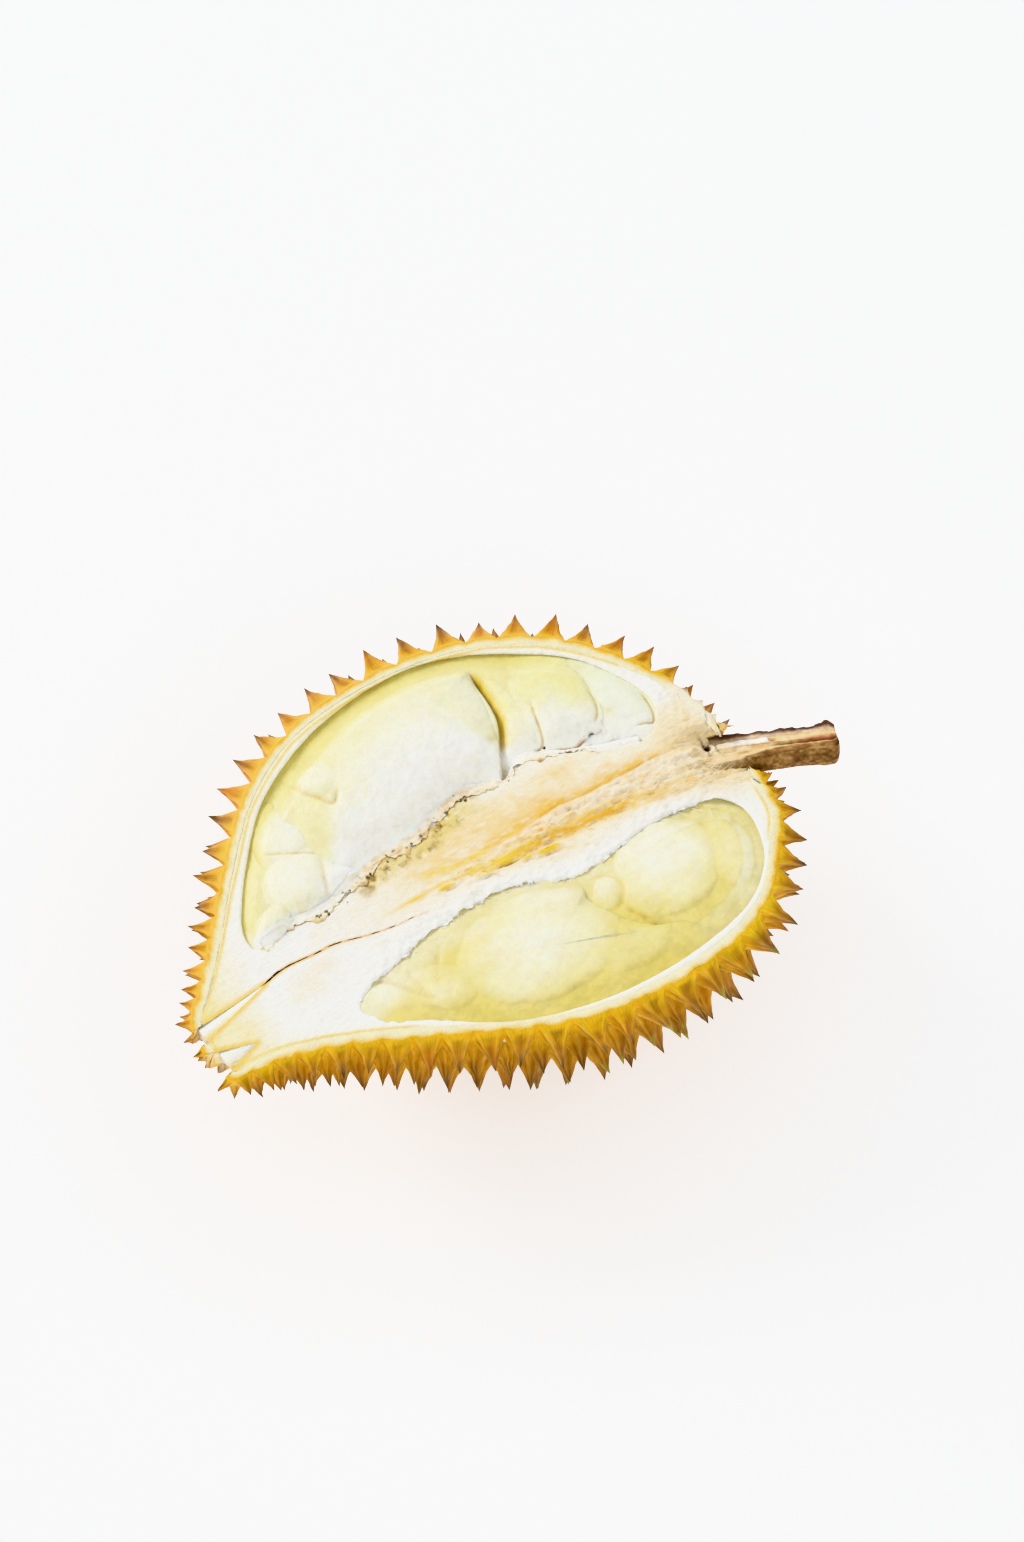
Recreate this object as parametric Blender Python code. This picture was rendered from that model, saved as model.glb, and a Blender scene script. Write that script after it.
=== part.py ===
"""Half of a durian, cut lengthwise and laid on its spiny back with the cut face up.

Pieces: the spiny rind, the pale pith that lines it with its chambers and core, the pods of
flesh that lie in the two open chambers, and the split woody stem.

The fruit is drawn in its own frame: X runs from the blossom end to the stem, Y across the cut
face, and the cut face is the plane Z = 0 with the fruit below it. At the end one empty moves
everything, so that the object stands on Z = 0 under the middle of its bounding box.
"""

import math

import bmesh
import bpy
import numpy as np
from mathutils import Matrix, Vector

MM = 0.001

# The husk: (x, near edge y, far edge y, depth) of its cross-sections, in mm.
BLOSSOM_X, STEM_X = -139.0, 99.0
END_Y = (0.0, -8.0)
STATIONS = (
    (-137, -12.5, 13.5, 11),
    (-127, -14.5, 24, 20),
    (-112, -18, 39, 30),
    (-92, -26.5, 60.5, 46),
    (-70, -38.5, 81, 61),
    (-44, -53.5, 94.5, 74.5),
    (-15, -67.5, 98.5, 83),
    (15, -74, 96, 83.5),
    (45, -74.5, 86.5, 78.5),
    (70, -67, 69, 67),
    (88, -50, 43.5, 49),
    (97, -35, 18, 25),
)
SUTURES = (math.radians(56), math.radians(124))  # grooves between the valves, round the section
SUTURE_WIDTH, SUTURE_SINK = math.radians(14), 0.035
FULLNESS = 0.07  # how much the shoulders stand out of a plain half ellipse
RIND = 3.0  # thickness of the yellow skin under its spines
GAP = 0.3  # clearance between touching pieces

# The spines
SPACING = 14.2  # from spine to spine where the husk is widest
SPACING_POWER = 0.42  # how fast they crowd together towards the narrow ends
WIDEST = 86.0
HEIGHT_SHARE = 1.12  # height of a spine over the spacing round it
RELAX_STEPS = 70
WAIST = (0.50, 0.33)  # width and height of a spine's middle ring, as shares of its foot and height
LEAN = 0.13  # largest sideways lean of a tip, over its height
FLOOR_CUT = 4.2  # how much of the lowest tips is blunted where the fruit rests
MERGE = 0.9  # cell corners nearer than this become one
SEED = 7

# The breaks at the blossom end, as (inner point, mouth y from, mouth y to) in mm
BREAKS = (((-106, 12), 4.5, 11.5), ((-121, -6), -11.0, 1.0))

# The chambers' rims on the cut face, counter-clockwise in mm, and how deep their lips go
UPPER_CHAMBER = (
    (-99, 27), (-80, 23), (-62, 21), (-41, 26.5), (-18, 28), (2, 31), (19, 31.5), (35, 31), (54, 18.5),
    (72, 10.5), (82, 17), (83, 33), (71, 57.5), (53, 73.5), (33, 86), (11, 93), (-15, 93.5),
    (-40, 88.5), (-65, 76.5), (-84, 58), (-100, 36),
)
LOWER_CHAMBER = (
    (-82, -17), (-60, -37.5), (-37, -54), (-14, -63), (10, -68), (37, -69), (62, -65), (78, -54),
    (85, -38), (80, -23), (63, -13.5), (41, -11), (13, -9), (-11, -5.5), (-34, -5), (-60, -9),
)
LIP = 9.0

# The pods of flesh: outline counter-clockwise in mm, then top, waist and bottom heights. Each one
# presses against those listed before it, and is hollowed by them.
PODS = {
    "pod_upper_large": (
        ((-66, 44), (-57, 33), (-40, 29), (-18, 30.5), (2, 33.2), (19, 34.5), (28, 55), (31, 70),
         (29, 84), (11, 91), (-14, 91.5), (-41, 86), (-63, 73), (-70, 58)), 8.0, -2.5, -44.0),
    "pod_upper_right": (
        ((20, 45), (23, 35), (37, 33), (52, 23), (60, 30), (63, 45), (60, 62), (50, 73), (35, 83),
         (27, 77), (22, 60)), 4.0, -3.0, -36.0),
    "pod_upper_stem": (
        ((51, 36), (56, 21.5), (70, 13.5), (80, 18.5), (80.5, 32), (72, 52), (62, 60), (54, 50)),
        0.5, -4.5, -24.0),
    "pod_upper_tip": (
        ((-97.5, 33), (-92, 27), (-78, 24.7), (-63, 24), (-54, 32), (-53, 47), (-57, 62), (-66, 71),
         (-82, 56.5), (-93, 43)), 2.5, -3.0, -26.0),
    "pod_lower_large": (
        ((-79, -17), (-58, -35.5), (-36, -51.5), (-14, -60.5), (10, -65.5), (33, -67), (44, -65.5),
         (35, -58), (24, -46), (15, -30), (10, -12), (-11, -8), (-34, -7.5), (-60, -11.5)), 2.5, -3.5, -36.0),
    "pod_lower_right": (
        ((9, -24), (17, -45), (30, -60), (47, -65), (62, -62.5), (76, -52.5), (82.5, -38),
         (78, -25), (62, -16), (40, -13.5), (16, -12.5)), 1.0, -4.0, -34.0),
}
POD_SIDES = 26
POD_SWELL = 1.1  # how far the pods press out past their outlines
POD_ROUNDNESS = 0.62  # under 1 the pods are plumper than an ellipsoid

# The split stem: (x, y, z, radius) along its axis in mm
STEM_AXIS = (
    (82, -1, -8, 10.4),
    (90, -5, -7.8, 10.0),
    (101, -11.5, -7.4, 9.2),
    (113, -18.5, -7.0, 8.8),
    (124, -24.8, -6.6, 8.9),
    (130, -28.2, -6.4, 9.6),
    (133.5, -30.2, -6.3, 9.2),
)
TEAR_TILT = math.radians(31)  # how far the torn face turns away from the cut face
TEAR_RISE = 2.6  # height of the torn face over the stem's axis

SMOOTH_ANGLE = math.radians(40)


# ---------------------------------------------------------------- the husk's surface


def smooth_through(knots, values, at):
    """A cubic curve through the values at the knots, read at other places."""
    slope = np.gradient(values, knots)
    i = np.clip(np.searchsorted(knots, at) - 1, 0, len(knots) - 2)
    step = knots[i + 1] - knots[i]
    s = (at - knots[i]) / step
    rise = values[i + 1] - values[i]
    start, end = slope[i] * step, slope[i + 1] * step
    return values[i] + s * start + s**2 * (3 * rise - 2 * start - end) + s**3 * (start + end - 2 * rise)


def u_of(x):
    """The husk's own measure along its length, 0 at the blossom end and 1 at the stem."""
    share = (np.asarray(x, float) - BLOSSOM_X) / (STEM_X - BLOSSOM_X)
    return np.arccos(1 - 2 * share) / math.pi


def sections(u):
    """Middle y, half width and depth of the husk's section at u."""
    rows = np.array([(BLOSSOM_X, END_Y[0], END_Y[0], 0), *STATIONS, (STEM_X, END_Y[1], END_Y[1], 0)], float)
    knots = u_of(rows[:, 0])
    near, far, depth = (smooth_through(knots, rows[:, k], u) for k in (1, 2, 3))
    return (near + far) / 2, np.maximum(far - near, 0) / 2, np.maximum(depth, 0)


def husk(u, t, inset=0.0):
    """Points of the husk in mm. t turns round the section, 0 at the far rim and pi at the near one."""
    middle, half, depth = sections(u)
    groove = sum(np.exp(-(((t - suture) / SUTURE_WIDTH) ** 2)) for suture in SUTURES)
    swell = 1 + FULLNESS * np.sin(2 * t) ** 2 - SUTURE_SINK * groove
    half, depth = half * swell, depth * swell
    half, depth = (size**2 / (size + inset + 1e-9) for size in (half, depth))
    reach = (STEM_X - BLOSSOM_X) / 2
    x = (STEM_X + BLOSSOM_X) / 2 - (reach - inset) * np.cos(math.pi * u)
    rise = np.round(np.sin(t), 9)  # exactly 0 on both rims
    return np.stack([x, middle + half * np.cos(t), -depth * rise], axis=-1)


# ---------------------------------------------------------------- spines


def spacing_at(u):
    """Distance wanted between spines, which crowd together where the husk narrows."""
    _, half, _ = sections(u)
    return SPACING * np.clip(half / WIDEST, 0.06, 1) ** SPACING_POWER


def sown_spines():
    """(u, t) of every spine: a golden-ratio sowing at the wanted density, then pushed apart evenly."""
    grid = np.linspace(0.002, 0.998, 2000)
    middle = husk(grid, np.full_like(grid, math.pi / 2))
    length = np.linalg.norm(np.gradient(middle, axis=0), axis=1)
    _, half, depth = sections(grid)
    area = length * math.pi * (half + depth) / 2
    count = np.cumsum(area / (0.866 * spacing_at(grid) ** 2))
    number = int(count[-1])
    order = np.arange(number) + 0.5
    u = np.interp(order, count, grid)
    t = math.pi * np.mod(order * (math.sqrt(5) - 1) / 2, 1)
    small = 1e-4
    for _ in range(RELAX_STEPS):
        here = husk(u, t)
        everyone = np.concatenate([here, here * (1, 1, -1)])
        spacing = spacing_at(u)
        gap = here[:, None] - everyone[None]
        distance = np.linalg.norm(gap, axis=2) + 1e-9
        reach = 0.65 * (spacing[:, None] + np.tile(spacing, 2)[None])
        strength = np.clip(1 - distance / reach, 0, None)
        push = (gap / distance[..., None] * strength[..., None]).sum(axis=1) * spacing[:, None] * 0.35
        along = (husk(u + small, t) - here) / small
        around = (husk(u, t + small) - here) / small
        u = np.clip(u + (push * along).sum(1) / (along**2).sum(1), 0.02, 0.98)
        t = np.clip(t + (push * around).sum(1) / (around**2).sum(1), 0.04, math.pi - 0.04)
    return u, t


def round_map():
    """(u, q) tables of the husk's conformal map to a sphere, so that cells drawn there keep their shape."""
    u = np.linspace(0.002, 0.998, 3000)
    _, half, depth = sections(u)
    radius = (half + depth) / 2
    x = -(STEM_X - BLOSSOM_X) / 2 * np.cos(math.pi * u)
    q = np.cumsum(np.hypot(np.gradient(x), np.gradient(radius)) / radius)
    return u, q - q[len(q) // 2]


def hull_triangles(points):
    """Corner numbers of the triangles of a convex hull, in double precision and facing out."""
    middle = points[:4].mean(axis=0)

    def facing_out(tri):
        a, b, c = points[tri[:, 0]], points[tri[:, 1]], points[tri[:, 2]]
        normal = np.cross(b - a, c - a)
        inward = ((a - middle) * normal).sum(axis=1) < 0
        tri = np.where(inward[:, None], tri[:, ::-1], tri)
        return tri, np.where(inward[:, None], -normal, normal)

    tri, normal = facing_out(np.array([(0, 1, 2), (0, 1, 3), (0, 2, 3), (1, 2, 3)]))
    for number in range(4, len(points)):
        seen = ((points[number] - points[tri[:, 0]]) * normal).sum(axis=1) > 1e-13
        if not seen.any():
            continue
        edges = {(int(t[k]), int(t[(k + 1) % 3])) for t in tri[seen] for k in range(3)}
        border = sorted(edge for edge in edges if (edge[1], edge[0]) not in edges)
        new_tri, new_normal = facing_out(np.array([(a, b, number) for a, b in border]))
        tri = np.concatenate([tri[~seen], new_tri])
        normal = np.concatenate([normal[~seen], new_normal])
    return tri, normal / np.linalg.norm(normal, axis=1)[:, None]


def spine_cells(u, t):
    """A mesh with one polygon for each spine's foot: the part of the husk nearest to that spine."""
    u_table, q_table = round_map()
    q = np.interp(u, u_table, q_table)
    ball = np.stack([np.tanh(q), np.cos(t) / np.cosh(q), -np.sin(t) / np.cosh(q)], axis=1)
    spread = np.random.default_rng(SEED).permutation(2 * len(ball))
    points = np.concatenate([ball, ball * (1, 1, -1)])
    order = np.argsort(spread)
    tri, normal = hull_triangles(points[order])
    tri = order[tri]
    turn = np.arctan2(-normal[:, 2], normal[:, 1])
    turn = np.where(np.abs(normal[:, 2]) < 1e-7, np.where(normal[:, 1] > 0, 0.0, math.pi), turn)
    side = np.hypot(normal[:, 1], normal[:, 2]) + 1e-12
    q_here = np.arcsinh(normal[:, 0] / side)
    corner = husk(np.interp(q_here, q_table, u_table), turn)
    cells = bmesh.new()
    verts = {k: cells.verts.new(Vector(corner[k]) * MM) for k in range(len(tri)) if turn[k] >= 0}
    fans = [[] for _ in points]
    for number, three in enumerate(tri):
        if number in verts:
            for seed in three:
                fans[seed].append(number)
    for seed, fan in enumerate(fans[: len(ball)]):
        axis = Vector(ball[seed])
        across = axis.orthogonal().normalized()
        other = axis.cross(across)
        fan.sort(key=lambda k: math.atan2(Vector(normal[k]).dot(other), Vector(normal[k]).dot(across)))
        if len(fan) > 2:
            cells.faces.new([verts[k] for k in fan])
    bmesh.ops.remove_doubles(cells, verts=cells.verts, dist=MERGE * MM)
    bmesh.ops.recalc_face_normals(cells, faces=cells.faces)
    return cells


def raise_spines(cells):
    """Draws every cell up into a spine with a broad foot, a waist and a slightly leaning tip."""
    chance = np.random.default_rng(SEED)
    middle = Vector((0, 0, 0))
    for face in cells.faces:
        if face.normal.dot(face.calc_center_median() - middle) < 0:
            face.normal_flip()
    feet = sorted(cells.faces, key=lambda f: tuple(f.calc_center_median()))
    up = {}
    raised = bmesh.ops.extrude_discrete_faces(cells, faces=feet)["faces"]
    for face in sorted(raised, key=lambda f: tuple(f.calc_center_median())):
        centre, normal = face.calc_center_median(), face.normal.copy()
        height = HEIGHT_SHARE * math.sqrt(face.calc_area() / 0.866) * chance.uniform(0.88, 1.08)
        lean = Vector(chance.uniform(-1, 1, 3)).cross(normal) * LEAN * height
        for vert in face.verts:
            vert.co = centre + (vert.co - centre) * WAIST[0] + normal * height * WAIST[1]
        up[face] = centre + normal * height + lean
    for face, tip in up.items():
        made = bmesh.ops.poke(cells, faces=[face])
        made["verts"][0].co = tip


# ---------------------------------------------------------------- solids


def new_object(name, mesh, collection, material=None):
    obj = bpy.data.objects.new(name, mesh)
    collection.objects.link(obj)
    if material:
        mesh.materials.append(material)
    return obj


def mesh_from(bm, name):
    """Closes a bmesh into a mesh with its faces pointing out."""
    bmesh.ops.recalc_face_normals(bm, faces=bm.faces)
    mesh = bpy.data.meshes.new(name)
    bm.to_mesh(mesh)
    bm.free()
    return mesh


def spiny_half():
    """The whole spiny half as a solid with a flat lid on the cut plane."""
    cells = spine_cells(*sown_spines())
    raise_spines(cells)
    rim = [edge for edge in cells.edges if edge.is_boundary]
    bmesh.ops.edgeloop_fill(cells, edges=rim)
    return mesh_from(cells, "spiny_half")


def smooth_half(name, inset, lid=0.0):
    """The husk's smooth form at a depth under its skin, with its flat lid raised to a height in mm."""
    around, along = 16, 32
    bm = bmesh.new()
    u = (np.arange(along) + 0.5) / along
    rows = []
    for place in u:
        t = np.linspace(0, math.pi, around + 1)
        rows.append([bm.verts.new(Vector(p) * MM) for p in husk(np.full(around + 1, place), t, inset)])
    ends = [bm.verts.new(Vector(husk(np.array(e), np.array(0.0), inset)) * MM) for e in (0.0, 1.0)]
    for a, b in zip(rows, rows[1:]):
        for j in range(around):
            bm.faces.new((a[j], a[j + 1], b[j + 1], b[j]))
    for end, row in ((ends[0], rows[0]), (ends[1], rows[-1])):
        for j in range(around):
            bm.faces.new((end, row[j], row[j + 1]))
    rim = [edge for edge in bm.edges if edge.is_boundary]
    if lid:
        walls = bmesh.ops.extrude_edge_only(bm, edges=rim)["geom"]
        top = [item for item in walls if isinstance(item, bmesh.types.BMVert)]
        bmesh.ops.translate(bm, verts=top, vec=(0, 0, lid * MM))
        rim = [edge for edge in bm.edges if edge.is_boundary]
    bmesh.ops.edgeloop_fill(bm, edges=rim)
    return mesh_from(bm, name)


def closed_curve(points, count):
    """count points evenly spaced by index on a smooth closed curve through the given ones."""
    p = np.array(points, float)
    at = np.arange(count) * len(p) / count
    i = at.astype(int)
    s = (at - i)[:, None]
    before, start, end, after = (p[(i + k) % len(p)] for k in (-1, 0, 1, 2))
    return 0.5 * (
        2 * start
        + (end - before) * s
        + (2 * before - 5 * start + 4 * end - after) * s**2
        + (3 * start - before - 3 * end + after) * s**3
    )


def grown(outline, by):
    """A closed outline with every side moved outwards by a distance."""
    side = np.roll(outline, -1, axis=0) - outline
    out = np.stack([side[:, 1], -side[:, 0]], axis=1) / np.linalg.norm(side, axis=1)[:, None]
    before = np.roll(out, 1, axis=0)
    share = 1 + (out * before).sum(axis=1)
    return outline + by * (out + before) / np.maximum(share, 0.3)[:, None]


def stacked(name, outline, profile):
    """A solid of level outlines, scaled about their middle: profile lists (scale, height) from the top."""
    middle = outline.mean(axis=0)
    bm = bmesh.new()
    rings = []
    for scale, height in profile:
        ring = middle + (outline - middle) * scale
        rings.append([bm.verts.new(Vector((x, y, height)) * MM) for x, y in ring])
    for upper, lower in zip(rings, rings[1:]):
        for j in range(len(outline)):
            k = (j + 1) % len(outline)
            bm.faces.new((upper[j], upper[k], lower[k], lower[j]))
    bm.faces.new(rings[0])
    bm.faces.new(rings[-1][::-1])
    bmesh.ops.remove_doubles(bm, verts=bm.verts, dist=0.05 * MM)
    return mesh_from(bm, name)


def pod_mesh(name, by=0.0):
    """A plump pod of flesh, grown by a distance where it is used to hollow its seat."""
    points, top, waist, bottom = PODS[name]
    profile = []
    for turn in np.radians([90, 64, 36, 12, -14, -42, -68, -90]):
        reach = (top - waist + by) if turn > 0 else (waist - bottom + by)
        scale = max(math.cos(turn), 0) ** POD_ROUNDNESS
        profile.append((scale, waist + reach * math.sin(turn)))
    return stacked("cut_" + name if by else name, grown(closed_curve(points, POD_SIDES), POD_SWELL + by), profile)


def stem_mesh(name, by=0.0):
    """The stem as a round tapering rod, grown by a distance where it is used to cut its socket."""
    curve = bpy.data.curves.new(name, "CURVE")
    curve.dimensions = "3D"
    curve.bevel_depth = MM
    curve.bevel_resolution = 5
    curve.use_fill_caps = True
    spline = curve.splines.new("POLY")
    spline.points.add(len(STEM_AXIS) - 1)
    for point, (x, y, z, radius) in zip(spline.points, STEM_AXIS):
        point.co = (x * MM, y * MM, z * MM, 1)
        point.radius = radius + by
    foot, second = spline.points[0].co.copy(), spline.points[1].co
    spline.points[0].co = foot + (foot - second).normalized() * by * MM
    rod = bpy.data.objects.new(name + "_curve", curve)
    bpy.context.scene.collection.objects.link(rod)
    bpy.context.view_layer.update()
    mesh = bpy.data.meshes.new_from_object(rod.evaluated_get(bpy.context.evaluated_depsgraph_get()))
    bpy.data.objects.remove(rod)
    bm = bmesh.new()
    bm.from_mesh(mesh)
    bmesh.ops.remove_doubles(bm, verts=bm.verts, dist=0.01 * MM)
    return mesh_from(bm, name)


def block(name, low, high, turn=Matrix()):
    """A box between two corners in mm, turned about its own origin."""
    bm = bmesh.new()
    bmesh.ops.create_cube(bm, size=1)
    low, high = Vector(low) * MM, Vector(high) * MM
    bmesh.ops.scale(bm, verts=bm.verts, vec=high - low)
    bmesh.ops.translate(bm, verts=bm.verts, vec=(low + high) / 2)
    bmesh.ops.transform(bm, verts=bm.verts, matrix=turn)
    return mesh_from(bm, name)


def tear_block():
    """The block that splits the stem along a plane turned away from the cut face."""
    first, last = (Vector(STEM_AXIS[k][:3]) * MM for k in (0, -1))
    along = (last - first).normalized()
    across = Vector((0, 0, 1)).cross(along).normalized()
    up = along.cross(across)
    frame = Matrix((along, across, up)).transposed().to_4x4()
    place = Matrix.Translation((first + last) / 2) @ frame @ Matrix.Rotation(-TEAR_TILT, 4, "X")
    return block("cut_tear", (-60, -40, TEAR_RISE), (60, 40, 50), place)


def break_mesh(number):
    """An upright wedge that opens towards the blossom end."""
    (inner_x, inner_y), low, high = BREAKS[number]
    mouth = BLOSSOM_X - 25
    stretch = (inner_x - mouth) / (inner_x - BLOSSOM_X)
    outline = np.array([
        (inner_x, inner_y),
        (mouth, inner_y + (high - inner_y) * stretch),
        (mouth, inner_y + (low - inner_y) * stretch),
    ])
    return stacked(f"cut_break_{number + 1}", outline, [(1, 20), (1, -60)])


# ---------------------------------------------------------------- the object


def finish_of(name, colour, roughness):
    material = bpy.data.materials.new(name)
    material.use_nodes = True
    shader = material.node_tree.nodes["Principled BSDF"]
    shader.inputs["Base Color"].default_value = (*colour, 1)
    shader.inputs["Roughness"].default_value = roughness
    shader.inputs["Metallic"].default_value = 0
    material.diffuse_color = (*colour, 1)
    return material


def cut(obj, cutters):
    """Takes each cutter from the object, with one Boolean for each."""
    for cutter in cutters:
        modifier = obj.modifiers.new("cut " + cutter.name, "BOOLEAN")
        modifier.operation = "DIFFERENCE"
        modifier.object = cutter


def helper(mesh, collection):
    obj = new_object(mesh.name, mesh, collection)
    obj.hide_render = True
    obj.display_type = "WIRE"
    return obj


def stand(objects, root):
    """Moves the whole object so that it stands on Z = 0 under the middle of its bounding box."""
    bpy.context.view_layer.update()
    graph = bpy.context.evaluated_depsgraph_get()
    corners = [
        obj.matrix_world @ Vector(corner) for obj in objects for corner in obj.evaluated_get(graph).bound_box
    ]
    low = [min(c[k] for c in corners) for k in range(3)]
    high = [max(c[k] for c in corners) for k in range(3)]
    root.location = (-(low[0] + high[0]) / 2, -(low[1] + high[1]) / 2, -low[2])


def main():
    for obj in list(bpy.data.objects):
        bpy.data.objects.remove(obj)
    fruit = bpy.data.collections.new("durian_half")
    cutters = bpy.data.collections.new("cutters")
    for collection in (fruit, cutters):
        bpy.context.scene.collection.children.link(collection)

    rind = new_object("rind", spiny_half(), fruit, finish_of("spiny_skin", (0.62, 0.33, 0.03), 0.55))
    pith = new_object("pith", smooth_half("pith", RIND + GAP), fruit, finish_of("pale_pith", (0.88, 0.80, 0.60), 0.7))
    stem = new_object("stem", stem_mesh("stem"), fruit, finish_of("bark", (0.22, 0.12, 0.06), 0.85))
    flesh = finish_of("ripe_flesh", (0.86, 0.76, 0.36), 0.4)
    pods = [new_object(name, pod_mesh(name), fruit, flesh) for name in PODS]

    lining = helper(smooth_half("cut_lining", RIND, lid=20), cutters)
    socket = helper(stem_mesh("cut_socket", by=GAP), cutters)
    tear = helper(tear_block(), cutters)
    breaks = [helper(break_mesh(number), cutters) for number in range(len(BREAKS))]
    lips = [
        helper(stacked(name, closed_curve(points, 2 * len(points)), [(1.0, 5), (0.97, -LIP)]), cutters)
        for name, points in (("cut_upper_chamber", UPPER_CHAMBER), ("cut_lower_chamber", LOWER_CHAMBER))
    ]
    seats = [helper(pod_mesh(name, by=GAP), cutters) for name in PODS]
    lowest = min(vert.co.z for vert in rind.data.vertices) / MM
    floor = helper(block("cut_floor", (-200, -200, lowest - 30), (200, 200, lowest + FLOOR_CUT)), cutters)

    cut(rind, [lining, socket, *breaks, floor])
    cut(pith, [socket, *breaks, *lips, *seats])
    cut(stem, [tear])
    for number, pod in enumerate(pods):
        chamber = pod.name.split("_")[1]
        cut(pod, [seat for seat in seats[:number] if chamber in seat.name])

    root = bpy.data.objects.new("durian_half", None)
    fruit.objects.link(root)
    for obj in (*fruit.objects, *cutters.objects):
        if obj is not root:
            obj.parent = root
    stand([rind, pith, stem, *pods], root)
    rind.data.shade_flat()
    for obj in (pith, stem, *pods):
        obj.data.shade_smooth()
        obj.data.set_sharp_from_angle(angle=SMOOTH_ANGLE)


main()
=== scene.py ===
"""Looks of a durian half that lies on its spiny back, cut face up.

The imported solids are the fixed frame. Every piece here is drawn in the fruit's own frame, in
millimetres: X runs from the blossom end to the stem, Y across the cut face, and the cut face is
the plane Z = 0. One offset, PLACE, puts all of them where the solids are.
"""

from __future__ import annotations

import logging
import math
from collections.abc import Callable
from dataclasses import dataclass
from enum import Enum
from types import SimpleNamespace

import bmesh
import bpy
import numpy as np
from bmesh.types import BMesh, BMVert
from bpy.types import Material, Node, NodeSocket, NodeTree, Object
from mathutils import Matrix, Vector
from mathutils.geometry import delaunay_2d_cdt

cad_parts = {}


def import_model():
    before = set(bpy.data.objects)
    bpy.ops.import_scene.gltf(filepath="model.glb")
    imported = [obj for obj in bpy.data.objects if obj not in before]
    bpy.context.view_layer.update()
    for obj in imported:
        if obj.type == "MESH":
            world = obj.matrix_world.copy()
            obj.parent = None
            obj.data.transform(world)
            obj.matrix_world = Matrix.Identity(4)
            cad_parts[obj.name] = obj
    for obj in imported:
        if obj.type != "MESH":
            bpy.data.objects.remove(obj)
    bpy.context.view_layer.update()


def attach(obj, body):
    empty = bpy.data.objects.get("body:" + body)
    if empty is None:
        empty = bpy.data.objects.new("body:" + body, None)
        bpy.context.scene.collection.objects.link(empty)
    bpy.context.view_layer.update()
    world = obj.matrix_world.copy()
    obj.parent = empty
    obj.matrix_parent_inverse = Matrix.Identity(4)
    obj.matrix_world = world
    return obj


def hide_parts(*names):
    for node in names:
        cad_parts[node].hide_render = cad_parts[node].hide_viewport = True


LOG = logging.getLogger("durian")
MM = 0.001
# Where the fruit's own frame stands in the row frame, in mm: the row frame's origin is under the middle
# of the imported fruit, on the ground that its lowest spines touch.
PLACE = np.array([2.957, -12.194, 95.762])
# Height of a row in a grid of even triangles, as a share of their side.
HEX_ROW = 0.866
Array = np.ndarray


# ---- small tools


def linear(hex_colour: str) -> Array:
    """Turns an sRGB hex colour, six digits after a hash sign, into linear red, green and blue."""
    srgb = np.array([int(hex_colour[k : k + 2], 16) for k in (1, 3, 5)]) / 255
    return np.where(srgb <= 0.04045, srgb / 12.92, ((srgb + 0.055) / 1.055) ** 2.4)


def ease(low: float, high: float, value: Array) -> Array:
    """Rises smoothly from 0 at low to 1 at high, or falls where high is below low."""
    share = np.clip((value - low) / (high - low), 0, 1)
    return share * share * (3 - 2 * share)


def ramp(stops: tuple[tuple[float, str], ...], at: Array) -> Array:
    """Reads a ramp of places with hex colours, in rising order, as one linear colour for each point."""
    places, colours = zip(*stops)
    return np.stack([np.interp(at, places, part) for part in zip(*map(linear, colours))], axis=-1)


def blend(base: Array, over: str, amount: Array) -> Array:
    """Lays a hex colour over linear ones, by a share from 0 to 1 at each point."""
    return base + (linear(over) - base) * np.clip(amount, 0, 1)[:, None]


@dataclass
class Paint:
    """Linear colours at a surface's points, painted over coat by coat."""

    colours: Array

    def coat(self, over: str, amount: Array) -> None:
        """Lays a hex colour over what is there, by a share from 0 to 1 at each point."""
        self.colours = blend(self.colours, over, amount)


def bell(value: Array, width: float | Array) -> Array:
    """A bell curve: 1 where the value is 0, and about a third where it equals the width."""
    return np.exp(-((value / width) ** 2))


def gap_to(xy: Array, spot: tuple) -> Array:
    """Distance of points of the cut plane from one spot, in mm."""
    return np.hypot(*(xy - spot).T)


def grain(points: Array, size: float, seed: int = 0) -> Array:
    """Smooth random values, one for each point.

    Args:
        points: Points in 2 or 3 dimensions, in mm.
        size: The distance over which the value changes, in mm.
        seed: Picks another pattern.

    Returns:
        Values from -1 to 1.
    """
    p = np.asarray(points, float) / size
    if p.shape[1] == 2:
        p = np.concatenate([p, np.full((len(p), 1), 0.37)], axis=1)
    cell = np.floor(p).astype(np.int64)
    share = p - cell
    share = share * share * share * (share * (share * 6 - 15) + 10)
    total = np.zeros(len(p))
    for corner in range(8):
        step = np.array([corner & 1, corner >> 1 & 1, corner >> 2 & 1])
        weight = np.where(step, share, 1 - share).prod(axis=1)
        x, y, z = (cell + step).T
        mixed = (x * 374761393 + y * 668265263 + z * 974711 + seed * 144269) & 0x7FFFFFFF
        mixed = (mixed ^ (mixed >> 13)) * 1274126177 & 0x7FFFFFFF
        total += weight * (((mixed ^ (mixed >> 16)) & 0xFFFF) / 32767.5 - 1)
    return total


def rough(points: Array, size: float, octaves: int = 3, seed: int = 0) -> Array:
    """Adds up layers of grain, each half the size and height of the one before: about -1 to 1."""
    layers = [grain(points, size / 2**k, seed + 31 * k) * 0.5**k for k in range(octaves)]
    return sum(layers) / (2 - 0.5 ** (octaves - 1))


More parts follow.
